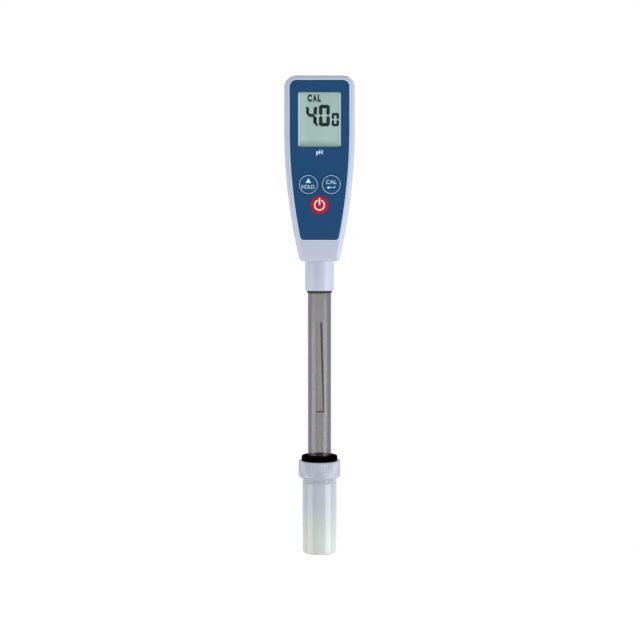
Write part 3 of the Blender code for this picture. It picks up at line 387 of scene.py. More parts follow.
def bar_tool(radius, start, end, steps=ROUND_STEPS):
    """Round bar between two points."""
    start, end = Vector(start), Vector(end)
    turn = Vector((0.0, 0.0, 1.0)).rotation_difference(end - start).to_matrix().to_4x4()
    bm = bmesh.new()
    bmesh.ops.create_cone(bm, cap_ends=True, segments=steps, radius1=radius, radius2=radius,
                          depth=(end - start).length,
                          matrix=Matrix.Translation((start + end) / 2) @ turn)
    return bm


def shift(bm, vec):
    """Move a whole bmesh."""
    bmesh.ops.translate(bm, vec=vec, verts=bm.verts)


def block_tool(low, high):
    """Square block between two corners."""
    low, high = Vector(low), Vector(high)
    bm = bmesh.new()
    bmesh.ops.create_cube(bm, size=1.0)
    bmesh.ops.scale(bm, vec=high - low, verts=bm.verts)
    shift(bm, (low + high) / 2)
    return bm


def open_neck(shell):
    """Hole and seat for the collar at the bottom of a shell."""
    lip_z = HANDLE_BOTTOM + WALL + FIT
    carve(shell, bar_tool(COLLAR_R + FIT, (0.0, 0.0, HANDLE_BOTTOM - WALL), (0.0, 0.0, lip_z)))
    carve(shell, bar_tool(COLLAR_LIP_R + FIT, (0.0, 0.0, lip_z - FIT - FILM_GAP),
                          (0.0, 0.0, collar_high.z + FIT)))


bm = bmesh.new()
rings = [panel_outline(bm, 0.0, FRONT_Y + PANEL_DEPTH)]
for back, outward in edge_rounding(RIM_ROUND, FILLET_STEPS):
    rings.append(panel_outline(bm, -outward, FRONT_Y + back))
for inward, back in edge_rounding(FRONT_ROUND):
    if inward < PANEL_MARGIN - RIM_ROUND - PANEL_RISE:
        rings.append(even_outline(bm, inward, lambda z: FRONT_Y + back))
for inset, depth in ((0.0, -SEAM / 2), (TONGUE_INSET, -SEAM / 2), (TONGUE_INSET, TONGUE_Y),
                     (WALL, TONGUE_Y)):
    rings.append(even_outline(bm, inset, lambda z: depth))
for inward, back in reversed(edge_rounding(FRONT_ROUND - WALL)):
    rings.append(even_outline(bm, WALL + inward, lambda z: FRONT_Y + WALL + back))
loft(bm, rings)
front_case = new_piece("front_case", bm, moulded_abs, "meter", "front_shell")
open_neck(front_case)
carve(front_case, block_tool((window_low.x - FIT, FRONT_Y, window_low.z - FIT),
                             (window_high.x + FIT, FRONT_Y + 2 * WALL, window_high.z + FIT)))
for middle, lip_r in keys.values():
    carve(front_case, bar_tool(lip_r - KEY_LIP + FIT, (middle.x, FRONT_Y, middle.z),
                               (middle.x, FRONT_Y + 2 * WALL, middle.z)))
even_shading(front_case)


# Display: a liquid crystal cell in a white frame, on two rubber connector strips
# The cell is two sheets of glass with a grey-green reflector between them, the front one
# smaller. Its dark figures are drawn as the thin films that they are.
INK_THICK = 0.03 * MM
FRONT_GLASS = 1.55 * MM
GLASS_BEVEL = 0.12 * MM
LCD_PAINTED_LIGHT_REACH = 6.0 * MM
LCD_PAINTED_SHADE_REACH = 4.0 * MM
SEGMENT_GAP = 0.12
CUT_CORNER = 0.55
POINTED_FOOT = 0.45
FIGURE_FOOT = -3.45
ANNUNCIATOR_RISE = 10.8 * MM
ANNUNCIATOR_HEIGHT = 3.7 * MM
ANNUNCIATOR_WEIGHT = 0.065
LETTER_MERGE = 0.0001
STRIP_PITCH = 8.0 * MM
window_middle = (window_low + window_high) / 2
GLASS_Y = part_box("lcd_glass")[0].y - FILM_GAP - FRONT_GLASS
SEGMENT_Y = GLASS_Y - INK_THICK


def dress(finish, *names):
    """Give CAD nodes a finish."""
    for name in names:
        frame["nodes"][name].material_slots[0].material = finish


def along_axis(tree, axis):
    """Where a place lies along one axis of the part."""
    place = add_node(tree, "TexCoord").outputs["Object"]
    return add_node(tree, "SeparateXYZ", {0: place}).outputs[axis]


# Reflective liquid crystal: grey-green and a touch uneven, like pressed foil. It has a painted
# highlight that makes it paler along the left, and painted shade that makes it darker along its
# foot.
lcd_cell = cloudy_finish("lcd_reflector", 0.5, "#A5C2BE", "#9DBBB5", 9, grain=(0.25, 0.001))
tree = lcd_cell.node_tree
base = tree.nodes["Principled BSDF"].inputs["Base Color"]
# Painted highlight along the left edge and painted shade along the foot, blended over the foil
# colour
for axis, start, reach, tone in (("X", window_low.x, LCD_PAINTED_LIGHT_REACH, "#B3D0CC"),
                                 ("Z", window_low.z, LCD_PAINTED_SHADE_REACH, "#7E9A94")):
    painted_light_and_shade = add_node(tree, "MapRange", {0: along_axis(tree, axis), 1: start, 2: start + reach},
                    interpolation_type="SMOOTHSTEP").outputs[0]
    colour = add_node(tree, "Mix", {0: painted_light_and_shade, 6: linear(tone), 7: base.links[0].from_socket},
                      data_type="RGBA")
    tree.links.new(colour.outputs[2], base)
dress(lcd_cell, "lcd_glass")
# Darkened liquid crystal: nearly black, a little greener where the film thins at its edge
lcd_dark = cloudy_finish("lcd_darkened", 0.6, "#1E2E2A", "#253730", 1.5, specular=0.0)


def plate(bm, corners, vec):
    """Add a plate from its corners on one side, extruded along a vector."""
    face = bm.faces.new([bm.verts.new(corner) for corner in corners])
    made = bmesh.ops.extrude_face_region(bm, geom=[face])["geom"]
    bmesh.ops.translate(bm, vec=vec, verts=[v for v in made if isinstance(v, bmesh.types.BMVert)])
    bmesh.ops.recalc_face_normals(bm, faces=bm.faces)


def flat_shape(bm, points, middle, low_y):
    """Add a film of ink from the corners of its front view, in millimetres about a middle."""
    plate(bm, [(middle.x + x * MM, low_y, middle.z + z * MM) for x, z in points],
          (0.0, INK_THICK, 0.0))


def arch(bm, left, width, height, stroke, turn):
    """Half of a nought in millimetres: three joined bars with pointed feet."""
    corner, half = CUT_CORNER * stroke, height / 2
    foot, inner = SEGMENT_GAP + POINTED_FOOT * stroke, width - stroke
    outline = ((0.0, foot), (stroke / 2, SEGMENT_GAP), (stroke, foot), (stroke, half - stroke),
               (inner, half - stroke), (inner, foot), (width - stroke / 2, SEGMENT_GAP),
               (width, foot), (width, half - corner), (width - corner, half), (corner, half),
               (0.0, half - corner))
    flat_shape(bm, [(left + x, FIGURE_FOOT + half + turn * z) for x, z in outline], window_middle,
               SEGMENT_Y)


def letters(text, middle, width, height, low_y, weight=0.0):
    """Plain letters in ink, facing the front, that fill a width and a height about a middle."""
    curve = bpy.data.curves.new("letters", "FONT")
    curve.body = text
    curve.extrude = 0.5
    curve.offset = weight
    holder = add_object("letters", curve)
    mesh = final_mesh(holder)
    bm = bmesh.new()
    bm.from_mesh(mesh)
    bpy.data.batch_remove((holder, curve, mesh))
    bmesh.ops.remove_doubles(bm, verts=bm.verts, dist=LETTER_MERGE)
    low = Vector([min(v.co[i] for v in bm.verts) for i in range(3)])
    high = Vector([max(v.co[i] for v in bm.verts) for i in range(3)])
    shift(bm, -(low + high) / 2)
    bmesh.ops.scale(bm, vec=(width / (high.x - low.x), height / (high.y - low.y), INK_THICK),
                    verts=bm.verts)
    bmesh.ops.rotate(bm, matrix=Matrix.Rotation(math.pi / 2, 3, "X"), verts=bm.verts)
    shift(bm, (middle[0], low_y + INK_THICK / 2, middle[1]))
    bmesh.ops.recalc_face_normals(bm, faces=bm.faces)
    return bm


bm = block_tool((window_low.x, GLASS_Y, window_low.z),
                (window_high.x, GLASS_Y + FRONT_GLASS, window_high.z))
bmesh.ops.bevel(bm, geom=bm.edges[:], affect="EDGES", offset=GLASS_BEVEL, segments=2, profile=0.5)
new_piece("lcd_front_glass", bm, lcd_cell, "meter")

# The figures' outlines, in millimetres about the window's middle
FOUR = (((-6.4, 6.7), (-5.3, 5.8), (-5.3, 3.0), (-2.9, 2.75), (-2.55, 2.0), (-3.05, 1.25),
         (-5.15, 1.25), (-6.8, 2.95), (-6.8, 6.3)),
        ((-1.5, 6.75), (-1.25, 6.2), (-1.25, 3.0), (-2.1, 2.2), (-3.05, 3.0), (-3.05, 5.6)),
        ((-2.6, 1.95), (-1.4, 1.05), (-1.4, -1.9), (-0.6, -2.7), (-1.1, -3.55), (-3.2, -1.75),
         (-3.2, 1.2)))
# Left edge, width, height and stroke
NOUGHTS = (-0.25, 5.5, 10.9, 1.75), (6.2, 3.7, 6.8, 1.28)
bm = bmesh.new()
for outline in FOUR:
    flat_shape(bm, outline, window_middle, SEGMENT_Y)
for turn in (1, -1):
    for nought in NOUGHTS:
        arch(bm, *nought, turn)
new_piece("lcd_figures", bm, lcd_dark, "meter")
for letter, middle_x, width in (("C", -4.95, 2.25), ("A", -2.35, 2.2), ("L", -0.1, 1.6)):
    bm = letters(letter, (window_middle.x + middle_x * MM, window_middle.z + ANNUNCIATOR_RISE),
                 width * MM, ANNUNCIATOR_HEIGHT, SEGMENT_Y, ANNUNCIATOR_WEIGHT)
    new_piece("lcd_annunciator_" + letter, bm, lcd_dark, "meter")

# Moulded white polystyrene: matt and slightly creamy
frame_white = cloudy_finish("moulded_polystyrene", 0.5, "#E4E3DC", "#DAD9D2", 6,
                            grain=(0.3, 0.002))
dress(frame_white, "lcd_frame")
# Silicone connector strip: pink rubber with dark carbon layers, drawn at 2.5 mm so that they show
zebra, tree, shader = begin_finish("layered_silicone", 0.7)
place = add_node(tree, "TexCoord").outputs["Object"]
layers = add_node(tree, "TexWave", {"Vector": place, "Scale": 1 / STRIP_PITCH},
                  bands_direction="X").outputs["Fac"]
colour = add_node(tree, "Mix", {0: layers, 6: linear("#2B2A2C"), 7: linear("#B58A8C")},
                  data_type="RGBA")
tree.links.new(colour.outputs[2], shader.inputs["Base Color"])
dress(zebra, "connector_strip_upper", "connector_strip_lower")


# Circuit board with its chips and the three key switches
# Glass-fibre board in green solder mask, clamped between the shells. The chips are black
# moulded epoxy, and each switch is a black housing with a white plunger under its key.
TRACK_PITCH = 3 * MM
TRACK_EDGE = 0.08
# Solder mask: glossy green over copper tracks, which show through it a little paler
board_finish, tree, shader = begin_finish("solder_masked_board", 0.35, ior=1.55)
place = add_node(tree, "TexCoord").outputs["Object"]
tracks = add_node(tree, "TexVoronoi", {"Vector": place, "Scale": 1 / TRACK_PITCH},
                  feature="DISTANCE_TO_EDGE", distance="MANHATTAN")
ink = add_node(tree, "Math", {0: tracks.outputs["Distance"], 1: TRACK_EDGE},
               operation="GREATER_THAN")
colour = add_node(tree, "Mix", {0: ink.outputs[0], 6: linear("#2F7A4D"), 7: linear("#1C5B38")},
                  data_type="RGBA")
tree.links.new(colour.outputs[2], shader.inputs["Base Color"])
dress(board_finish, "main_board")
# Moulded epoxy: nearly black and matt, with the fine blasted skin of its mould
epoxy = cloudy_finish("moulded_epoxy", 0.6, "#232325", "#1A1A1C", 2, grain=(0.15, 0.003))
dress(epoxy, "controller_chip", "amplifier_chip", *(key + "_switch" for key in keys))
dress(frame_white, *(key + "_plunger" for key in keys))


# Printed panel and window
# Polyester film, printed dark blue on its back and glued into the recess, with a clear
# acrylic window over the display. Only the quantity that the meter reads is printed on it.
PANEL_BLUE = "#0B436F"
PANEL_BLUE_DEEP = "#08406A"
FILM_EDGE = 0.36 * MM
FILM_CHAMFER = 0.1 * MM
WINDOW_CORNER = 0.8 * MM
PANE_THICK = 0.32 * MM
PANE_BEVEL = 0.7 * MM
BEVEL_SINK = 0.2 * MM
FILM_SLIP = 0.015 * MM
STEEP, LEVEL = 0.3, 0.98
PRINT_DROP = 3.0 * MM
PRINT_WIDTH, PRINT_HEIGHT = 3.3 * MM, 2.8 * MM
PRINT_WEIGHT = 0.03
PANE_COVER = 0.02


def window_tool(low, high):
    """Block from front to back with rounded upright corners."""
    bm = block_tool(low, high)
    along = [edge for edge in bm.edges if abs(edge.verts[0].co.y - edge.verts[1].co.y) > FILM_GAP]
    bmesh.ops.bevel(bm, geom=along, affect="EDGES", offset=WINDOW_CORNER, segments=BEVEL_STEPS,
                    profile=0.5)
    return bm


# Printed polyester: a dark blue seen through a satin film
panel_film = cloudy_finish("printed_polyester", 0.4, PANEL_BLUE, PANEL_BLUE_DEEP, 10,
                           grain=(0.25, 0.0012), specular=0.25)
# Screen-printed ink: flat white, a shade uneven where the mesh held it back
print_ink = cloudy_finish("screen_printed_ink", 0.6, "#CBEBFF", "#C2E4FA", 1.2)
bm = bmesh.new()
loft(bm, [panel_outline(bm, FILM_SLIP + FILM_EDGE, panel_low.y),
          panel_outline(bm, FILM_SLIP, panel_low.y + FILM_CHAMFER),
          panel_outline(bm, FILM_SLIP, panel_high.y)])
bm.normal_update()
# The slanted edge faces take the pale edge colour, a painted highlight
for face in bm.faces:
    face.material_index = int(STEEP < -face.normal.y < LEVEL)
panel = new_piece("printed_panel", bm, panel_film, "meter", "panel_overlay")
# Cut polyester edge: the clear film without its print, painted pale as a fine pale blue highlight
# line
cut_edge_highlight = cloudy_finish("cut_polyester_edge_highlight", 0.5, "#E2F1FF", "#D6E9FB", 2)
panel.data.materials.append(cut_edge_highlight)
carve(panel, window_tool((window_low.x - FILM_GAP, FRONT_Y - WALL, window_low.z - FILM_GAP),
                         (window_high.x + FILM_GAP, FRONT_Y + WALL, window_high.z + FILM_GAP)))
for middle, lip_r in keys.values():
    carve(panel, bar_tool(lip_r - KEY_LIP + SLIP, (middle.x, FRONT_Y - WALL, middle.z),
                          (middle.x, FRONT_Y + WALL, middle.z)))
even_shading(panel)
bm = letters("pH", (0.0, window_low.z - PRINT_DROP), PRINT_WIDTH, PRINT_HEIGHT,
             panel_low.y - INK_THICK / 2, PRINT_WEIGHT)
new_piece("panel_lettering", bm, print_ink, "meter")

# Clear acrylic: all but invisible from the front, with a faint grey-green body and hairline scuffs
acrylic = cloudy_finish("clear_acrylic", 0.08, "#7F8E8A", "#768581", 0.8, detail=4.0, ior=1.49,
                        specular=0.15, alpha=PANE_COVER)
bm = window_tool(window_low, (window_high.x, window_low.y + PANE_THICK, window_high.z))
front = min(bm.faces, key=lambda face: face.calc_center_median().y)
bevel = bmesh.ops.inset_region(bm, faces=[front], thickness=PANE_BEVEL, depth=0.0)["faces"]
bmesh.ops.translate(bm, vec=(0.0, BEVEL_SINK, 0.0), verts=front.verts)
flank = window_high.z - window_middle.z - PANE_BEVEL
# Only the side bevels take the painted highlight; the top and foot bevels, which lie in shade,
# stay clear
for face in bevel:
    face.material_index = int(abs(face.calc_center_median().z - window_middle.z) < flank)
pane = new_piece("display_pane", bm, acrylic, "meter", "display_window")
# Sawn acrylic edge: frosted, and painted pale as a highlight line down both sides
frosted_edge_highlight = cloudy_finish("frosted_acrylic_edge_highlight", 0.5, "#B9D6DE", "#AFCED7", 2)
pane.data.materials.append(frosted_edge_highlight)


# Keys
# Three moulded keys that stand through the panel on lips behind it: two blue ones with
# printed rings and words, and the red power key with its sign.
KEY_ROUND = 0.12 * MM
KEY_LIP_HEIGHT = 0.8 * MM
RING_INNER = 4.5 * MM
RING_OUTER = 4.69 * MM
PRINT_SHIFT = 0.2 * MM
SIGN_R = 2.5 * MM
SIGN_STROKE = 0.62 * MM
SIGN_GAP = math.radians(44)
SIGN_STEPS = 64
# Printed signs, in millimetres about the middle of their key
TRIANGLE = ((-1.2, 0.8), (1.6, 0.8), (0.2, 3.2))
ARROW = ((-2.3, -1.55), (-0.8, -0.8), (-0.8, -1.41), (1.8, -1.41), (1.8, -0.6), (2.1, -0.6),
         (2.1, -1.69), (-0.8, -1.69), (-0.8, -2.3))
SIGN_BAR = ((-0.38, 0.0), (0.38, 0.0), (0.38, 3.5), (-0.38, 3.5))


def spun(profile, axis="Z", centre=(0.0, 0.0, 0.0), steps=ROUND_STEPS):
    """Turn a profile of (radius, along, rounding) corners about an axis through a centre."""
    # A profile that starts off the axis closes to a ring
    if profile[0][0]:
        profile = [*profile, profile[0][:2]]
    bm = bmesh.new()
    upright = axis == "Z"
    verts = [bm.verts.new((r, 0.0, along) if upright else (r, along, 0.0))
             for r, along, *_ in profile]
    for near, far in zip(verts, verts[1:]):
        bm.edges.new((near, far))
    for vert, (r, along, *rounding) in zip(verts, profile):
        if rounding:
            bmesh.ops.bevel(bm, geom=[vert], affect="VERTICES", offset=rounding[0],
                            segments=BEVEL_STEPS, profile=0.5)
    bmesh.ops.spin(bm, geom=[*bm.verts, *bm.edges], angle=2 * math.pi, steps=steps, use_merge=True,
                   axis=(0.0, 0.0, 1.0) if upright else (0.0, 1.0, 0.0))
    bmesh.ops.remove_doubles(bm, verts=bm.verts, dist=FINE)
    bmesh.ops.recalc_face_normals(bm, faces=bm.faces)
    shift(bm, centre)
    return bm


# Moulded keycap plastic: the panel's blue and a strong signal red, both satin
key_blue = cloudy_finish("blue_keycap_abs", 0.42, PANEL_BLUE, PANEL_BLUE_DEEP, 5,
                         grain=(0.25, 0.0015), specular=0.25)
key_red = cloudy_finish("red_keycap_abs", 0.4, "#A81B33", "#A1182F", 4,
                        grain=(0.25, 0.0015), specular=0.25)
for key, (middle, lip_r) in keys.items():
    key_low, key_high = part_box(key + "_key")
    radius = lip_r - KEY_LIP
    lip_y = key_high.y - KEY_LIP_HEIGHT
    bm = spun([(0.0, key_low.y), (radius, key_low.y, KEY_ROUND), (radius, lip_y), (lip_r, lip_y),
               (lip_r, key_high.y), (0.0, key_high.y)], "Y", (middle.x, 0.0, middle.z))
    new_piece(key + "_keycap", bm, key_red if key == "power" else key_blue, key + "_key",
              key + "_key")

PRINT_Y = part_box("hold_key")[0].y - INK_THICK / 2
for key, word, word_x, word_z, width, height, sign, outline in (
        ("hold", "HOLD", 0.0, -1.15, 6.45, 1.9, "triangle", TRIANGLE),
        ("cal", "CAL", 0.2, 1.27, 5.4, 1.95, "arrow", ARROW)):
    middle = keys[key][0]
    bm = spun([(RING_INNER, PRINT_Y), (RING_OUTER, PRINT_Y), (RING_OUTER, PRINT_Y + INK_THICK),
               (RING_INNER, PRINT_Y + INK_THICK)], "Y", (middle.x + PRINT_SHIFT, 0.0, middle.z))
    new_piece(key + "_ring_print", bm, print_ink, key + "_key")
    bm = letters(word, (middle.x + word_x * MM, middle.z + word_z * MM), width * MM, height * MM,
                 PRINT_Y)
    new_piece(key + "_word_print", bm, print_ink, key + "_key")
    bm = bmesh.new()
    flat_shape(bm, outline, middle, PRINT_Y)
    new_piece(key + "_" + sign + "_print", bm, print_ink, key + "_key")

middle = keys["power"][0]
POWER_PRINT_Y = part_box("power_key")[0].y - INK_THICK / 2
bm = bmesh.new()
near, far = SIGN_R - SIGN_STROKE / 2, SIGN_R + SIGN_STROKE / 2
bm.faces.new([bm.verts.new((r, y, 0.0)) for r, y in (
    (near, 0.0), (far, 0.0), (far, INK_THICK), (near, INK_THICK))])
bmesh.ops.rotate(bm, matrix=Matrix.Rotation(SIGN_GAP / 2 - math.pi / 2, 3, "Y"), verts=bm.verts)
bmesh.ops.spin(bm, geom=[*bm.verts, *bm.edges, *bm.faces], axis=(0.0, 1.0, 0.0), steps=SIGN_STEPS,
               angle=2 * math.pi - SIGN_GAP)
shift(bm, (middle.x, POWER_PRINT_Y, middle.z))
flat_shape(bm, SIGN_BAR, middle, POWER_PRINT_Y)
# Thick printed ink: the sign on the red key is a fuller, warmer white than the rings
sign_ink = cloudy_finish("thick_printed_ink", 0.5, "#FFEAEC", "#FBDFE2", 1.2)
new_piece("power_sign_print", bm, sign_ink, "power_key")


# Neck collar and the dark seal ring under it
# A turned-looking ABS sleeve held by its lip inside the handle, which carries the electrode.
# A thin rubber ring closes the gap round the tube; its dark lip is drawn down the tube as painted
# shade under the collar.
COLLAR_ROUND = 0.8 * MM
COLLAR_LIP_HEIGHT = 2.0 * MM
SEAL_DROP = 0.4 * MM
SEAL_SHADE_LIP = 0.3 * MM
seal_low, seal_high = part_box("collar_seal")
tube_low, tube_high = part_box("electrode_tube")
TUBE_R = tube_high.x
COLLAR_BORE = TUBE_R + SLIP
lip_z = collar_high.z - COLLAR_LIP_HEIGHT
collar_foot = collar_low.z - SEAL_DROP
bm = spun([(COLLAR_BORE, collar_high.z), (COLLAR_LIP_R, collar_high.z, 0.2 * MM),
           (COLLAR_LIP_R, lip_z), (COLLAR_R, lip_z), (COLLAR_R, collar_foot, COLLAR_ROUND),
           (COLLAR_BORE, collar_foot)])
new_piece("collar_sleeve", bm, moulded_abs, "meter", "neck_collar")
# The ring's foot reaches below the collar and down the tube: painted shade under the collar
bm = spun([(COLLAR_BORE, seal_high.z), (seal_high.x, seal_high.z, 0.12 * MM),
           (seal_high.x, seal_low.z), (COLLAR_BORE, seal_low.z - SEAL_DROP - SEAL_SHADE_LIP)])
# Grey silicone rubber: dull and nearly black, and also dark enough to serve as painted shade under
# the collar
silicone = cloudy_finish("silicone_rubber", 0.7, "#1C1C23", "#16161C", 3)
new_piece("collar_seal_ring_and_shade", bm, silicone, "meter", "collar_seal")


# Electrode
# A smoky plastic tube with a slotted guard at its tip. In it are a glass stem that ends in the
# sensing bulb, a porous junction ring, a potted plug and the silver reference wire.
TUBE_WALL = 1.25 * MM
GUARD_SLOT_WIDTH = 4.0 * MM
GUARD_SLOT_HEIGHT = 7.0 * MM
TIP_ROUND = 0.35 * MM
stem_low, stem_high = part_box("glass_stem")
ring_low, ring_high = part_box("junction_ring")
plug_low, plug_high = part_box("electrode_plug")
STEM_R = 1.8 * MM
STEM_STEPS = 48
STEM_SHARP = 80.0
TUBE_BORE = TUBE_R - TUBE_WALL
DRAW_STRETCH = (1.0, 1.0, 0.02)
SKIN_COVER, SKIN_EDGE_COVER = 0.507, 0.72
SKIN_GLOSS = 0.36
GLOSS_FADE, GLOSS_END = 0.45, 0.8
BORE_COVER, BORE_EDGE_COVER, BORE_EDGE = 0.01, 0.3, 0.55
STEM_COVER, STEM_EDGE_COVER, STEM_EDGE = 0.04, 0.3, 0.3
PLUG_COVER = 0.3
WIRE_SWELL = 0.15 * MM


def cover_by_angle(tree, face_on, edge_on, edge=0.0):
    """Let a clear finish cover more where it is seen edge on than where it faces the eye."""
    facing = add_node(tree, "LayerWeight", {"Blend": 0.5}).outputs["Facing"]
    cover = add_node(tree, "MapRange", {0: facing, 1: edge, 3: face_on, 4: edge_on}).outputs[0]
    tree.links.new(cover, tree.nodes["Principled BSDF"].inputs["Alpha"])
    return facing


# Smoke-tinted polycarbonate: grey and see-through, glossy, with faint draw lines along it.
# The tint is in the outer skin, denser where the eye looks along the wall, and the gloss fades
# there. The bore is clear, and dark only where it is seen edge on.
outer_skin = cloudy_finish("smoky_polycarbonate", 0.2, "#3C3137", "#33292E", 1.2,
                           stretch=DRAW_STRETCH, ior=1.58)
bore_skin = cloudy_finish("clear_bore", 0.2, "#2E2A30", "#262228", 1.2, stretch=DRAW_STRETCH,
                          ior=1.58, specular=0.0)
cover_by_angle(bore_skin.node_tree, BORE_COVER, BORE_EDGE_COVER, BORE_EDGE)
tree = outer_skin.node_tree
facing = cover_by_angle(tree, SKIN_COVER, SKIN_EDGE_COVER)
gloss = add_node(tree, "MapRange", {0: facing, 1: GLOSS_FADE, 2: GLOSS_END, 3: SKIN_GLOSS, 4: 0.0})
shader = tree.nodes["Principled BSDF"]
shader.inputs["Specular Tint"].default_value = linear("#E0D9FF")
tree.links.new(gloss.outputs[0], shader.inputs["Specular IOR Level"])
bm = spun([(TUBE_BORE, tube_high.z), (TUBE_R, tube_high.z), (TUBE_R, tube_low.z, TIP_ROUND),
           (TUBE_BORE, tube_low.z, TIP_ROUND)])
for face in bm.faces:
    middle = face.calc_center_median()
    face.material_index = int(middle.xy.dot(face.normal.xy) < -FINE)
tube = new_piece("electrode_sleeve", bm, outer_skin, "meter", "electrode_tube")
tube.data.materials.append(bore_skin)
half = GUARD_SLOT_WIDTH / 2
for reach_x, reach_y in ((2 * TUBE_R, half), (half, 2 * TUBE_R)):
    carve(tube, block_tool((-reach_x, -reach_y, tube_low.z - GUARD_SLOT_WIDTH),
                           (reach_x, reach_y, tube_low.z + GUARD_SLOT_HEIGHT)))
even_shading(tube)

# Blown glass: clear and faintly brown. It is drawn without its thin bore, which no light shows
blown_glass = cloudy_finish("blown_glass", 0.35, "#4A423F", "#423B38", 8)
cover_by_angle(blown_glass.node_tree, STEM_COVER, STEM_EDGE_COVER, STEM_EDGE)
bulb_z = stem_low.z + stem_high.x
bm = bmesh.new()
bmesh.ops.create_uvsphere(bm, u_segments=STEM_STEPS, v_segments=32, radius=stem_high.x,
                          matrix=Matrix.Translation((0.0, 0.0, bulb_z)))
stem = new_piece("glass_electrode", bm, blown_glass, "meter", "glass_stem", STEM_SHARP)
carve(stem, bar_tool(STEM_R, (0.0, 0.0, bulb_z), (0.0, 0.0, plug_low.z), STEM_STEPS), "UNION",
      STEM_SHARP)

# Sintered ceramic: chalky, with an open grain that is drawn at 0.4 mm so that it shows
sintered = cloudy_finish("sintered_ceramic", 0.8, "#E6E2D8", "#D9D4C8", 1, grain=(0.4, 0.02))
ring_bore = STEM_R + SLIP
bm = spun([(ring_bore, ring_high.z), (ring_high.x, ring_high.z, 0.3 * MM),
           (ring_high.x, ring_low.z, 0.3 * MM), (ring_bore, ring_low.z)])
new_piece("porous_junction", bm, sintered, "meter", "junction_ring")
# Cast epoxy: milky, and clearer towards its foot. It is drawn solid, with the stem ending there
potting = cloudy_finish("cast_epoxy", 0.35, "#F4F0F1", "#ECE8E9", 5)
tree = potting.node_tree
cover = add_node(tree, "MapRange",
                 {0: along_axis(tree, "Z"), 1: plug_low.z, 2: plug_high.z, 3: 0.0, 4: PLUG_COVER})
tree.links.new(cover.outputs[0], tree.nodes["Principled BSDF"].inputs["Alpha"])
bm = spun([(0.0, plug_low.z), (plug_high.x, plug_low.z, 0.3 * MM),
           (plug_high.x, plug_high.z, 0.3 * MM), (0.0, plug_high.z)])
new_piece("potted_plug", bm, potting, "meter", "electrode_plug")
# Chlorided silver: dull and dark where the wire has been treated
silver = cloudy_finish("chlorided_silver", 0.6, "#2A282A", "#211F21", 2)
cad_wire = frame["nodes"]["reference_wire"]
bm = bmesh.new()
bm.from_mesh(cad_wire.data)
bmesh.ops.transform(bm, matrix=cad_wire.matrix_world, verts=bm.verts)
bmesh.ops.remove_doubles(bm, verts=bm.verts, dist=FINE)
bm.normal_update()
for vert in bm.verts:
    vert.co += vert.normal * WIRE_SWELL
new_piece("silver_wire", bm, silver, "meter", "reference_wire")
# Moulded nitrile rubber: black and dull
rubber_black = cloudy_finish("nitrile_rubber", 0.8, "#020202", "#010101", 3,
                             grain=(0.2, 0.002), specular=0.0)
dress(rubber_black, "electrode_lead")


# Batteries
# Two alkaline cells lie head to tail in a white tray, between nickel-plated contact plates
# and coil springs.
SPRING_TURNS = 3
SPRING_STEPS = 20
SPRING_WIRE = 0.6 * MM
WIRE_STEPS = 10
CELL_ROUND = 0.5 * MM
CELL_STEPS = 64
NUB_R = 1.9 * MM
NUB_HEIGHT = 1.0 * MM
WRAP_BLUE = "#3C4A5C"
WRAP_BANDS = ((0.02, WRAP_BLUE), (0.74, "#C7CCD2"), (0.78, WRAP_BLUE))
WRAP_END = 0.965
dress(frame_white, "battery_tray")
# Nickel-plated spring steel: bright, slightly yellow, with fine rolling marks
nickel = cloudy_finish("nickel_plated_steel", 0.28, "#D8D6D0", "#C6C3BB", 0.5, metallic=1.0)
dress(nickel, "contact_plate_left", "contact_plate_right", "bridge_plate")


def coil(bm, turns, steps, rise, start):
    """Sweep a face round and up the upright axis, from a start."""
    bmesh.ops.spin(bm, geom=[*bm.verts, *bm.edges, *bm.faces], axis=(0.0, 0.0, 1.0), steps=steps,
                   angle=2 * math.pi * turns, dvec=(0.0, 0.0, rise / steps))
    shift(bm, start)
    bmesh.ops.recalc_face_normals(bm, faces=bm.faces)


for side in ("left", "right"):
    spring_low, spring_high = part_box("contact_spring_" + side)
    middle = (spring_low + spring_high) / 2
    coil_r = (spring_high.x - spring_low.x - SPRING_WIRE) / 2
    rise = spring_high.z - spring_low.z - SPRING_WIRE
    bm = bmesh.new()
    upright = Matrix.Rotation(math.pi / 2, 4, "X")
    bmesh.ops.create_circle(bm, cap_ends=True, segments=WIRE_STEPS, radius=SPRING_WIRE / 2,
                            matrix=Matrix.Translation((coil_r, 0.0, 0.0)) @ upright)
    coil(bm, SPRING_TURNS, SPRING_TURNS * SPRING_STEPS, rise,
         (middle.x, middle.y, spring_low.z + SPRING_WIRE / 2))
    new_piece("coil_spring_" + side, bm, nickel, "meter", "contact_spring_" + side,
              sharp_degrees=60.0)

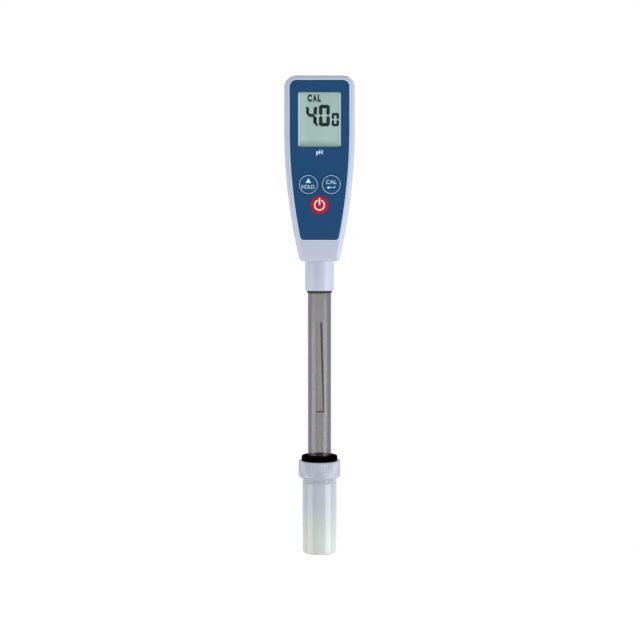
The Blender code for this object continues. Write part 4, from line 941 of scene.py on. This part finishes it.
# Printed cell wrap: shiny film in slate blue with a pale band, and bare nickel at both ends
for side, head_up in (("left", True), ("right", False)):
    cell_low, cell_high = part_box("battery_cell_" + side)
    middle = (cell_low + cell_high) / 2
    wrap, tree, shader = begin_finish("printed_cell_wrap_" + side, 0.3)
    foot_z, head_z = (cell_low.z, cell_high.z) if head_up else (cell_high.z, cell_low.z)
    share = add_node(tree, "MapRange", {0: along_axis(tree, "Z"), 1: foot_z, 2: head_z})
    bands = add_node(tree, "ValToRGB", {0: share.outputs[0]})
    ramp = bands.color_ramp
    ramp.interpolation = "CONSTANT"
    ramp.elements[0].color = linear("#C9C8C4")
    ramp.elements[1].position = WRAP_END
    ramp.elements[1].color = linear("#D2D0CB")
    for start, code in WRAP_BANDS:
        ramp.elements.new(start).color = linear(code)
    tree.links.new(bands.outputs["Color"], shader.inputs["Base Color"])
    cell_r = (cell_high.x - cell_low.x) / 2
    length = cell_high.z - cell_low.z
    bm = spun([(0.0, 0.0), (cell_r, 0.0, CELL_ROUND), (cell_r, length - NUB_HEIGHT, CELL_ROUND),
               (NUB_R, length - NUB_HEIGHT), (NUB_R, length, 0.3 * MM), (0.0, length)],
              steps=CELL_STEPS)
    if not head_up:
        bmesh.ops.rotate(bm, matrix=Matrix.Rotation(math.pi, 3, "X"), verts=bm.verts)
    shift(bm, (middle.x, middle.y, foot_z))
    new_piece("alkaline_cell_" + side, bm, wrap, "meter", "battery_cell_" + side)


# Rear shell and its two screws
# The other moulded half, rounder at its edges and drawn in towards the collar. Two deep
# sinks take the screws, and a slot with grooves at its sides takes the battery door.
BACK_ROUND = 4.5 * MM
TAPER_LENGTH = 42.0 * MM
GROOVE_INSET = 0.75 * MM
SCREW_SEAT = 3.0 * MM
POST_R = 3.4 * MM
SINK_R = 2.3 * MM
SCREW_HOLE_R = 1.25 * MM
SCREW_STEPS = 48
HEAD_R = 2.0 * MM
HEAD_SEAT = SCREW_SEAT + FIT
SHANK_R = 1.1 * MM
RECESS_LONG, RECESS_WIDE, RECESS_DEEP = 1.3 * MM, 0.3 * MM, 0.9 * MM
DOOR_TONGUE = 0.7 * MM
DOOR_TONGUE_HEIGHT = 0.5 * MM
BACK_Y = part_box("rear_shell")[1].y
END_BACK_Y = END_HALF_WIDTH + FIT
door_low, door_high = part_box("battery_door")
tray_low, tray_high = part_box("battery_tray")
TRAY_WALL = 1.0 * MM


def back_y(z):
    """Back of the handle at a height: flat above, curving in towards the collar."""
    share = min(max(HANDLE_BOTTOM + TAPER_LENGTH - z, 0.0) / TAPER_LENGTH, 1.0)
    return BACK_Y - (BACK_Y - END_BACK_Y) * share ** 2


bm = bmesh.new()
rings = []
for inward, back in edge_rounding(BACK_ROUND):
    rings.append(even_outline(bm, inward, lambda z: back_y(z) - back))
for inset, depth in ((0.0, SEAM / 2), (GROOVE_INSET, SEAM / 2), (GROOVE_INSET, TONGUE_Y + FIT),
                     (WALL, TONGUE_Y + FIT)):
    rings.append(even_outline(bm, inset, lambda z: depth))
for inward, back in reversed(edge_rounding(BACK_ROUND - WALL)):
    rings.append(even_outline(bm, WALL + inward, lambda z: back_y(z) - WALL - back))
loft(bm, rings)
rear_case = new_piece("rear_case", bm, moulded_abs, "meter", "rear_shell")
open_neck(rear_case)
# Zinc-plated screw steel: bluish and bright, with a cross recess pressed in the head
zinc = cloudy_finish("zinc_plated_steel", 0.3, "#C4C8CE", "#B4B8BF", 1.5, metallic=1.0)
for side in ("left", "right"):
    screw_low, screw_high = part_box("case_screw_" + side)
    x, z = (screw_low.x + screw_high.x) / 2, (screw_low.z + screw_high.z) / 2
    carve(rear_case, bar_tool(POST_R, (x, SEAM / 2, z), (x, back_y(z) - WALL / 2, z)), "UNION")
    carve(rear_case, bar_tool(SCREW_HOLE_R, (x, -WALL, z), (x, BACK_Y, z)))
    carve(rear_case, bar_tool(SINK_R, (x, SCREW_SEAT, z), (x, BACK_Y + WALL, z)))
    bm = spun([(0.0, screw_high.y), (HEAD_R, screw_high.y, 0.6 * MM), (HEAD_R, HEAD_SEAT),
               (SHANK_R, HEAD_SEAT), (SHANK_R, screw_low.y + SHANK_R), (0.0, screw_low.y)],
              "Y", (x, 0.0, z), SCREW_STEPS)
    screw = new_piece("cross_screw_" + side, bm, zinc, "meter", "case_screw_" + side)
    for half_x, half_z in ((RECESS_LONG, RECESS_WIDE), (RECESS_WIDE, RECESS_LONG)):
        carve(screw, block_tool((x - half_x, screw_high.y - RECESS_DEEP, z - half_z),
                                (x + half_x, screw_high.y + WALL, z + half_z)))
carve(rear_case, block_tool((tray_low.x + TRAY_WALL, tray_low.y, tray_low.z + TRAY_WALL),
                            (tray_high.x - TRAY_WALL, BACK_Y + WALL, tray_high.z - TRAY_WALL)))
tongue_x, tongue_y = door_high.x, door_low.y + DOOR_TONGUE_HEIGHT
door_x = tongue_x - DOOR_TONGUE
for reach, top_y in ((door_x, BACK_Y + WALL), (tongue_x, tongue_y + FILM_GAP)):
    carve(rear_case, block_tool((-reach - SLIP, door_low.y - FILM_GAP, door_low.z - SLIP),
                                (reach + SLIP, top_y, HANDLE_TOP + WALL)))
even_shading(rear_case)


# Battery door
# A slice of the rear of the case that slides off upwards on two thin tongues, with five
# grooves for the thumb.
GRIP_GROOVES = 5
GRIP_PITCH = 2.0 * MM
GRIP_WIDTH = 1.0 * MM
GRIP_DEPTH = 0.4 * MM
GRIP_LENGTH = 13.0 * MM
DOOR_SOFTEN = 0.12 * MM
DOOR_SHARP = 40.0
bm = bmesh.new()
rings = [even_outline(bm, inward, lambda z: back_y(z) - back)
         for inward, back in edge_rounding(BACK_ROUND)]
rings.append(even_outline(bm, 0.0, lambda z: 0.0))
loft(bm, rings)
door = new_piece("sliding_door", bm, moulded_abs, "battery_door", "battery_door")
tool = bmesh.new()
plate(tool, [(x, y, door_low.z) for x, y in (
    (-tongue_x, door_low.y), (tongue_x, door_low.y), (tongue_x, tongue_y), (door_x, tongue_y),
    (door_x, BACK_Y + WALL), (-door_x, BACK_Y + WALL), (-door_x, tongue_y),
    (-tongue_x, tongue_y))], (0.0, 0.0, HANDLE_TOP + WALL - door_low.z))
carve(door, tool, "INTERSECT")
for index in range(GRIP_GROOVES):
    z = door_low.z + (index + 2) * GRIP_PITCH
    carve(door, block_tool((-GRIP_LENGTH / 2, BACK_Y - GRIP_DEPTH, z),
                           (GRIP_LENGTH / 2, BACK_Y + WALL, z + GRIP_WIDTH)))
soften = door.modifiers.new("soften", "BEVEL")
soften.width = DOOR_SOFTEN
soften.segments = 2
soften.limit_method = "ANGLE"
soften.angle_limit = math.radians(DOOR_SHARP)
even_shading(door)


# Storage bottle
# A blow-moulded polyethylene bottle with a threaded neck, part filled with storage solution
# that tints its lower end a faint green.
BOTTLE_BORE = 7.5 * MM
BOTTLE_FLOOR = 1.5 * MM
BASE_ROUND = 1.2 * MM
NECK_STEP = 0.55 * MM
BODY_TOP = 37.3 * MM
SHOULDER_RISE = 1.5 * MM
THREAD_START = 2.0 * MM
THREAD_LEAD = 3.0 * MM
THREAD_TURNS = 1.75
THREAD_STEPS = 64
THREAD_DEPTH, THREAD_SINK = 0.65 * MM, 0.3 * MM
THREAD_CREST, THREAD_ROOT = 0.3 * MM, 0.8 * MM
TINT_LOW, TINT_HIGH = 5.0 * MM, 30.0 * MM
CLOUD_SIZE = 9 * MM
CLOUD_DIM, CLOUD_BRIGHT = 0.95, 1.03
bottle_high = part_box("storage_bottle")[1]
BOTTLE_R = bottle_high.x
NECK_R = BOTTLE_R - NECK_STEP
# Natural polyethylene: milky and satin, greener below the level of the liquid inside it
milky, tree, shader = begin_finish("natural_polyethylene", 0.07, ior=1.52, specular=0.24)
level = add_node(tree, "MapRange", {0: along_axis(tree, "Z"), 1: TINT_LOW, 2: TINT_HIGH},
                 interpolation_type="SMOOTHSTEP")
colour = add_node(tree, "Mix", {0: level.outputs[0], 6: linear("#C4CAC3"), 7: linear("#B1B6C0")},
                  data_type="RGBA")
place = add_node(tree, "TexCoord").outputs["Object"]
cloud = add_node(tree, "TexNoise", {"Vector": place, "Scale": 1 / CLOUD_SIZE, "Detail": 2.0})
shade = add_node(tree, "MapRange", {0: cloud.outputs["Fac"], 3: CLOUD_DIM, 4: CLOUD_BRIGHT})
tinted = add_node(tree, "VectorMath", {0: colour.outputs[2], 1: shade.outputs[0]},
                  operation="MULTIPLY")
tree.links.new(tinted.outputs[0], shader.inputs["Base Color"])
bm = spun([(0.0, BOTTLE_FLOOR), (BOTTLE_BORE, BOTTLE_FLOOR, 0.8 * MM),
           (BOTTLE_BORE, bottle_high.z, 0.3 * MM), (NECK_R, bottle_high.z, 0.4 * MM),
           (NECK_R, BODY_TOP + SHOULDER_RISE), (BOTTLE_R, BODY_TOP, 0.25 * MM),
           (BOTTLE_R, 0.0, BASE_ROUND), (0.0, 0.0)])
bottle = new_piece("threaded_bottle", bm, milky, "storage_bottle", "storage_bottle")
thread = bmesh.new()
thread.faces.new([thread.verts.new((NECK_R + out, 0.0, z)) for out, z in (
    (-THREAD_SINK, -THREAD_ROOT), (THREAD_DEPTH, -THREAD_CREST),
    (THREAD_DEPTH, THREAD_CREST), (-THREAD_SINK, THREAD_ROOT))])
coil(thread, THREAD_TURNS, int(THREAD_STEPS * THREAD_TURNS), THREAD_LEAD * THREAD_TURNS,
     (0.0, 0.0, BODY_TOP + THREAD_START))
carve(bottle, thread, "UNION")
even_shading(bottle)


# Screw cap
# A moulded polypropylene cap with fine grip ribs down its side and a hole for the grommet.
CAP_RIBS = 68
COLUMNS_PER_RIB = 4
RIB_DEPTH = 0.2 * MM
RIB_FOOT, RIB_END = 2.4 * MM, 0.5 * MM
CAP_CHAMFER = 1.2 * MM
CAP_ROUND = 0.6 * MM
CAP_DISH = 0.7 * MM
CAP_BORE = 9.5 * MM
CAP_HOLE = 7.5 * MM
CAP_TOP_WALL = 2.0 * MM
cap_low, cap_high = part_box("bottle_cap")
CAP_R = cap_high.x
# Moulded polypropylene: milky white with a soft shine
cap_plastic = cloudy_finish("moulded_polypropylene", 0.35, "#AAB0BD", "#A3A9B6", 6,
                            grain=(0.3, 0.0015))
ceiling = cap_high.z - CAP_TOP_WALL
dish_z = cap_high.z - CAP_DISH
columns = CAP_RIBS * COLUMNS_PER_RIB
bm = spun([(CAP_HOLE, dish_z, 0.2 * MM), (CAP_R - 2 * CAP_ROUND, cap_high.z, 0.3 * MM),
           (CAP_R, cap_high.z, CAP_ROUND), (CAP_R, cap_low.z + RIB_FOOT + RIB_END),
           (CAP_R, cap_low.z + RIB_FOOT), (CAP_R, cap_low.z + CAP_CHAMFER, 0.4 * MM),
           (CAP_BORE, cap_low.z, 0.1 * MM), (CAP_BORE, ceiling), (CAP_HOLE, ceiling),
           (CAP_HOLE, dish_z - 0.2 * MM)], steps=columns)
for vert in bm.verts:
    reach = math.hypot(vert.co.x, vert.co.y)
    column = round(math.atan2(vert.co.y, vert.co.x) / (2 * math.pi) * columns) % COLUMNS_PER_RIB
    if vert.co.z > cap_low.z + RIB_FOOT + FINE and reach > CAP_R - CAP_ROUND * 0.6 and column:
        drawn_in = RIB_DEPTH if column == 2 else RIB_DEPTH / 2
        vert.co.x *= 1 - drawn_in / reach
        vert.co.y *= 1 - drawn_in / reach
new_piece("ribbed_cap", bm, cap_plastic, "bottle_cap", "bottle_cap",
          sharp_degrees=28.0)


# Grommet
# A black rubber bush that seals the bottle round the electrode and stands proud of the cap.
BARREL_R = 7.2 * MM
LIP_SPREAD = 0.2 * MM
LIP_HEIGHT = 2.6 * MM
grommet_low, grommet_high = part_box("seal_grommet")
lip_r = grommet_high.x + LIP_SPREAD
lip_z = grommet_high.z - LIP_HEIGHT
bore = TUBE_R + SLIP
bm = spun([(bore, grommet_high.z), (lip_r, grommet_high.z, 0.7 * MM), (lip_r, lip_z, 0.2 * MM),
           (BARREL_R, lip_z), (BARREL_R, grommet_low.z, 0.4 * MM), (bore, grommet_low.z)])
new_piece("rubber_bush", bm, rubber_black, "seal_grommet", "seal_grommet")
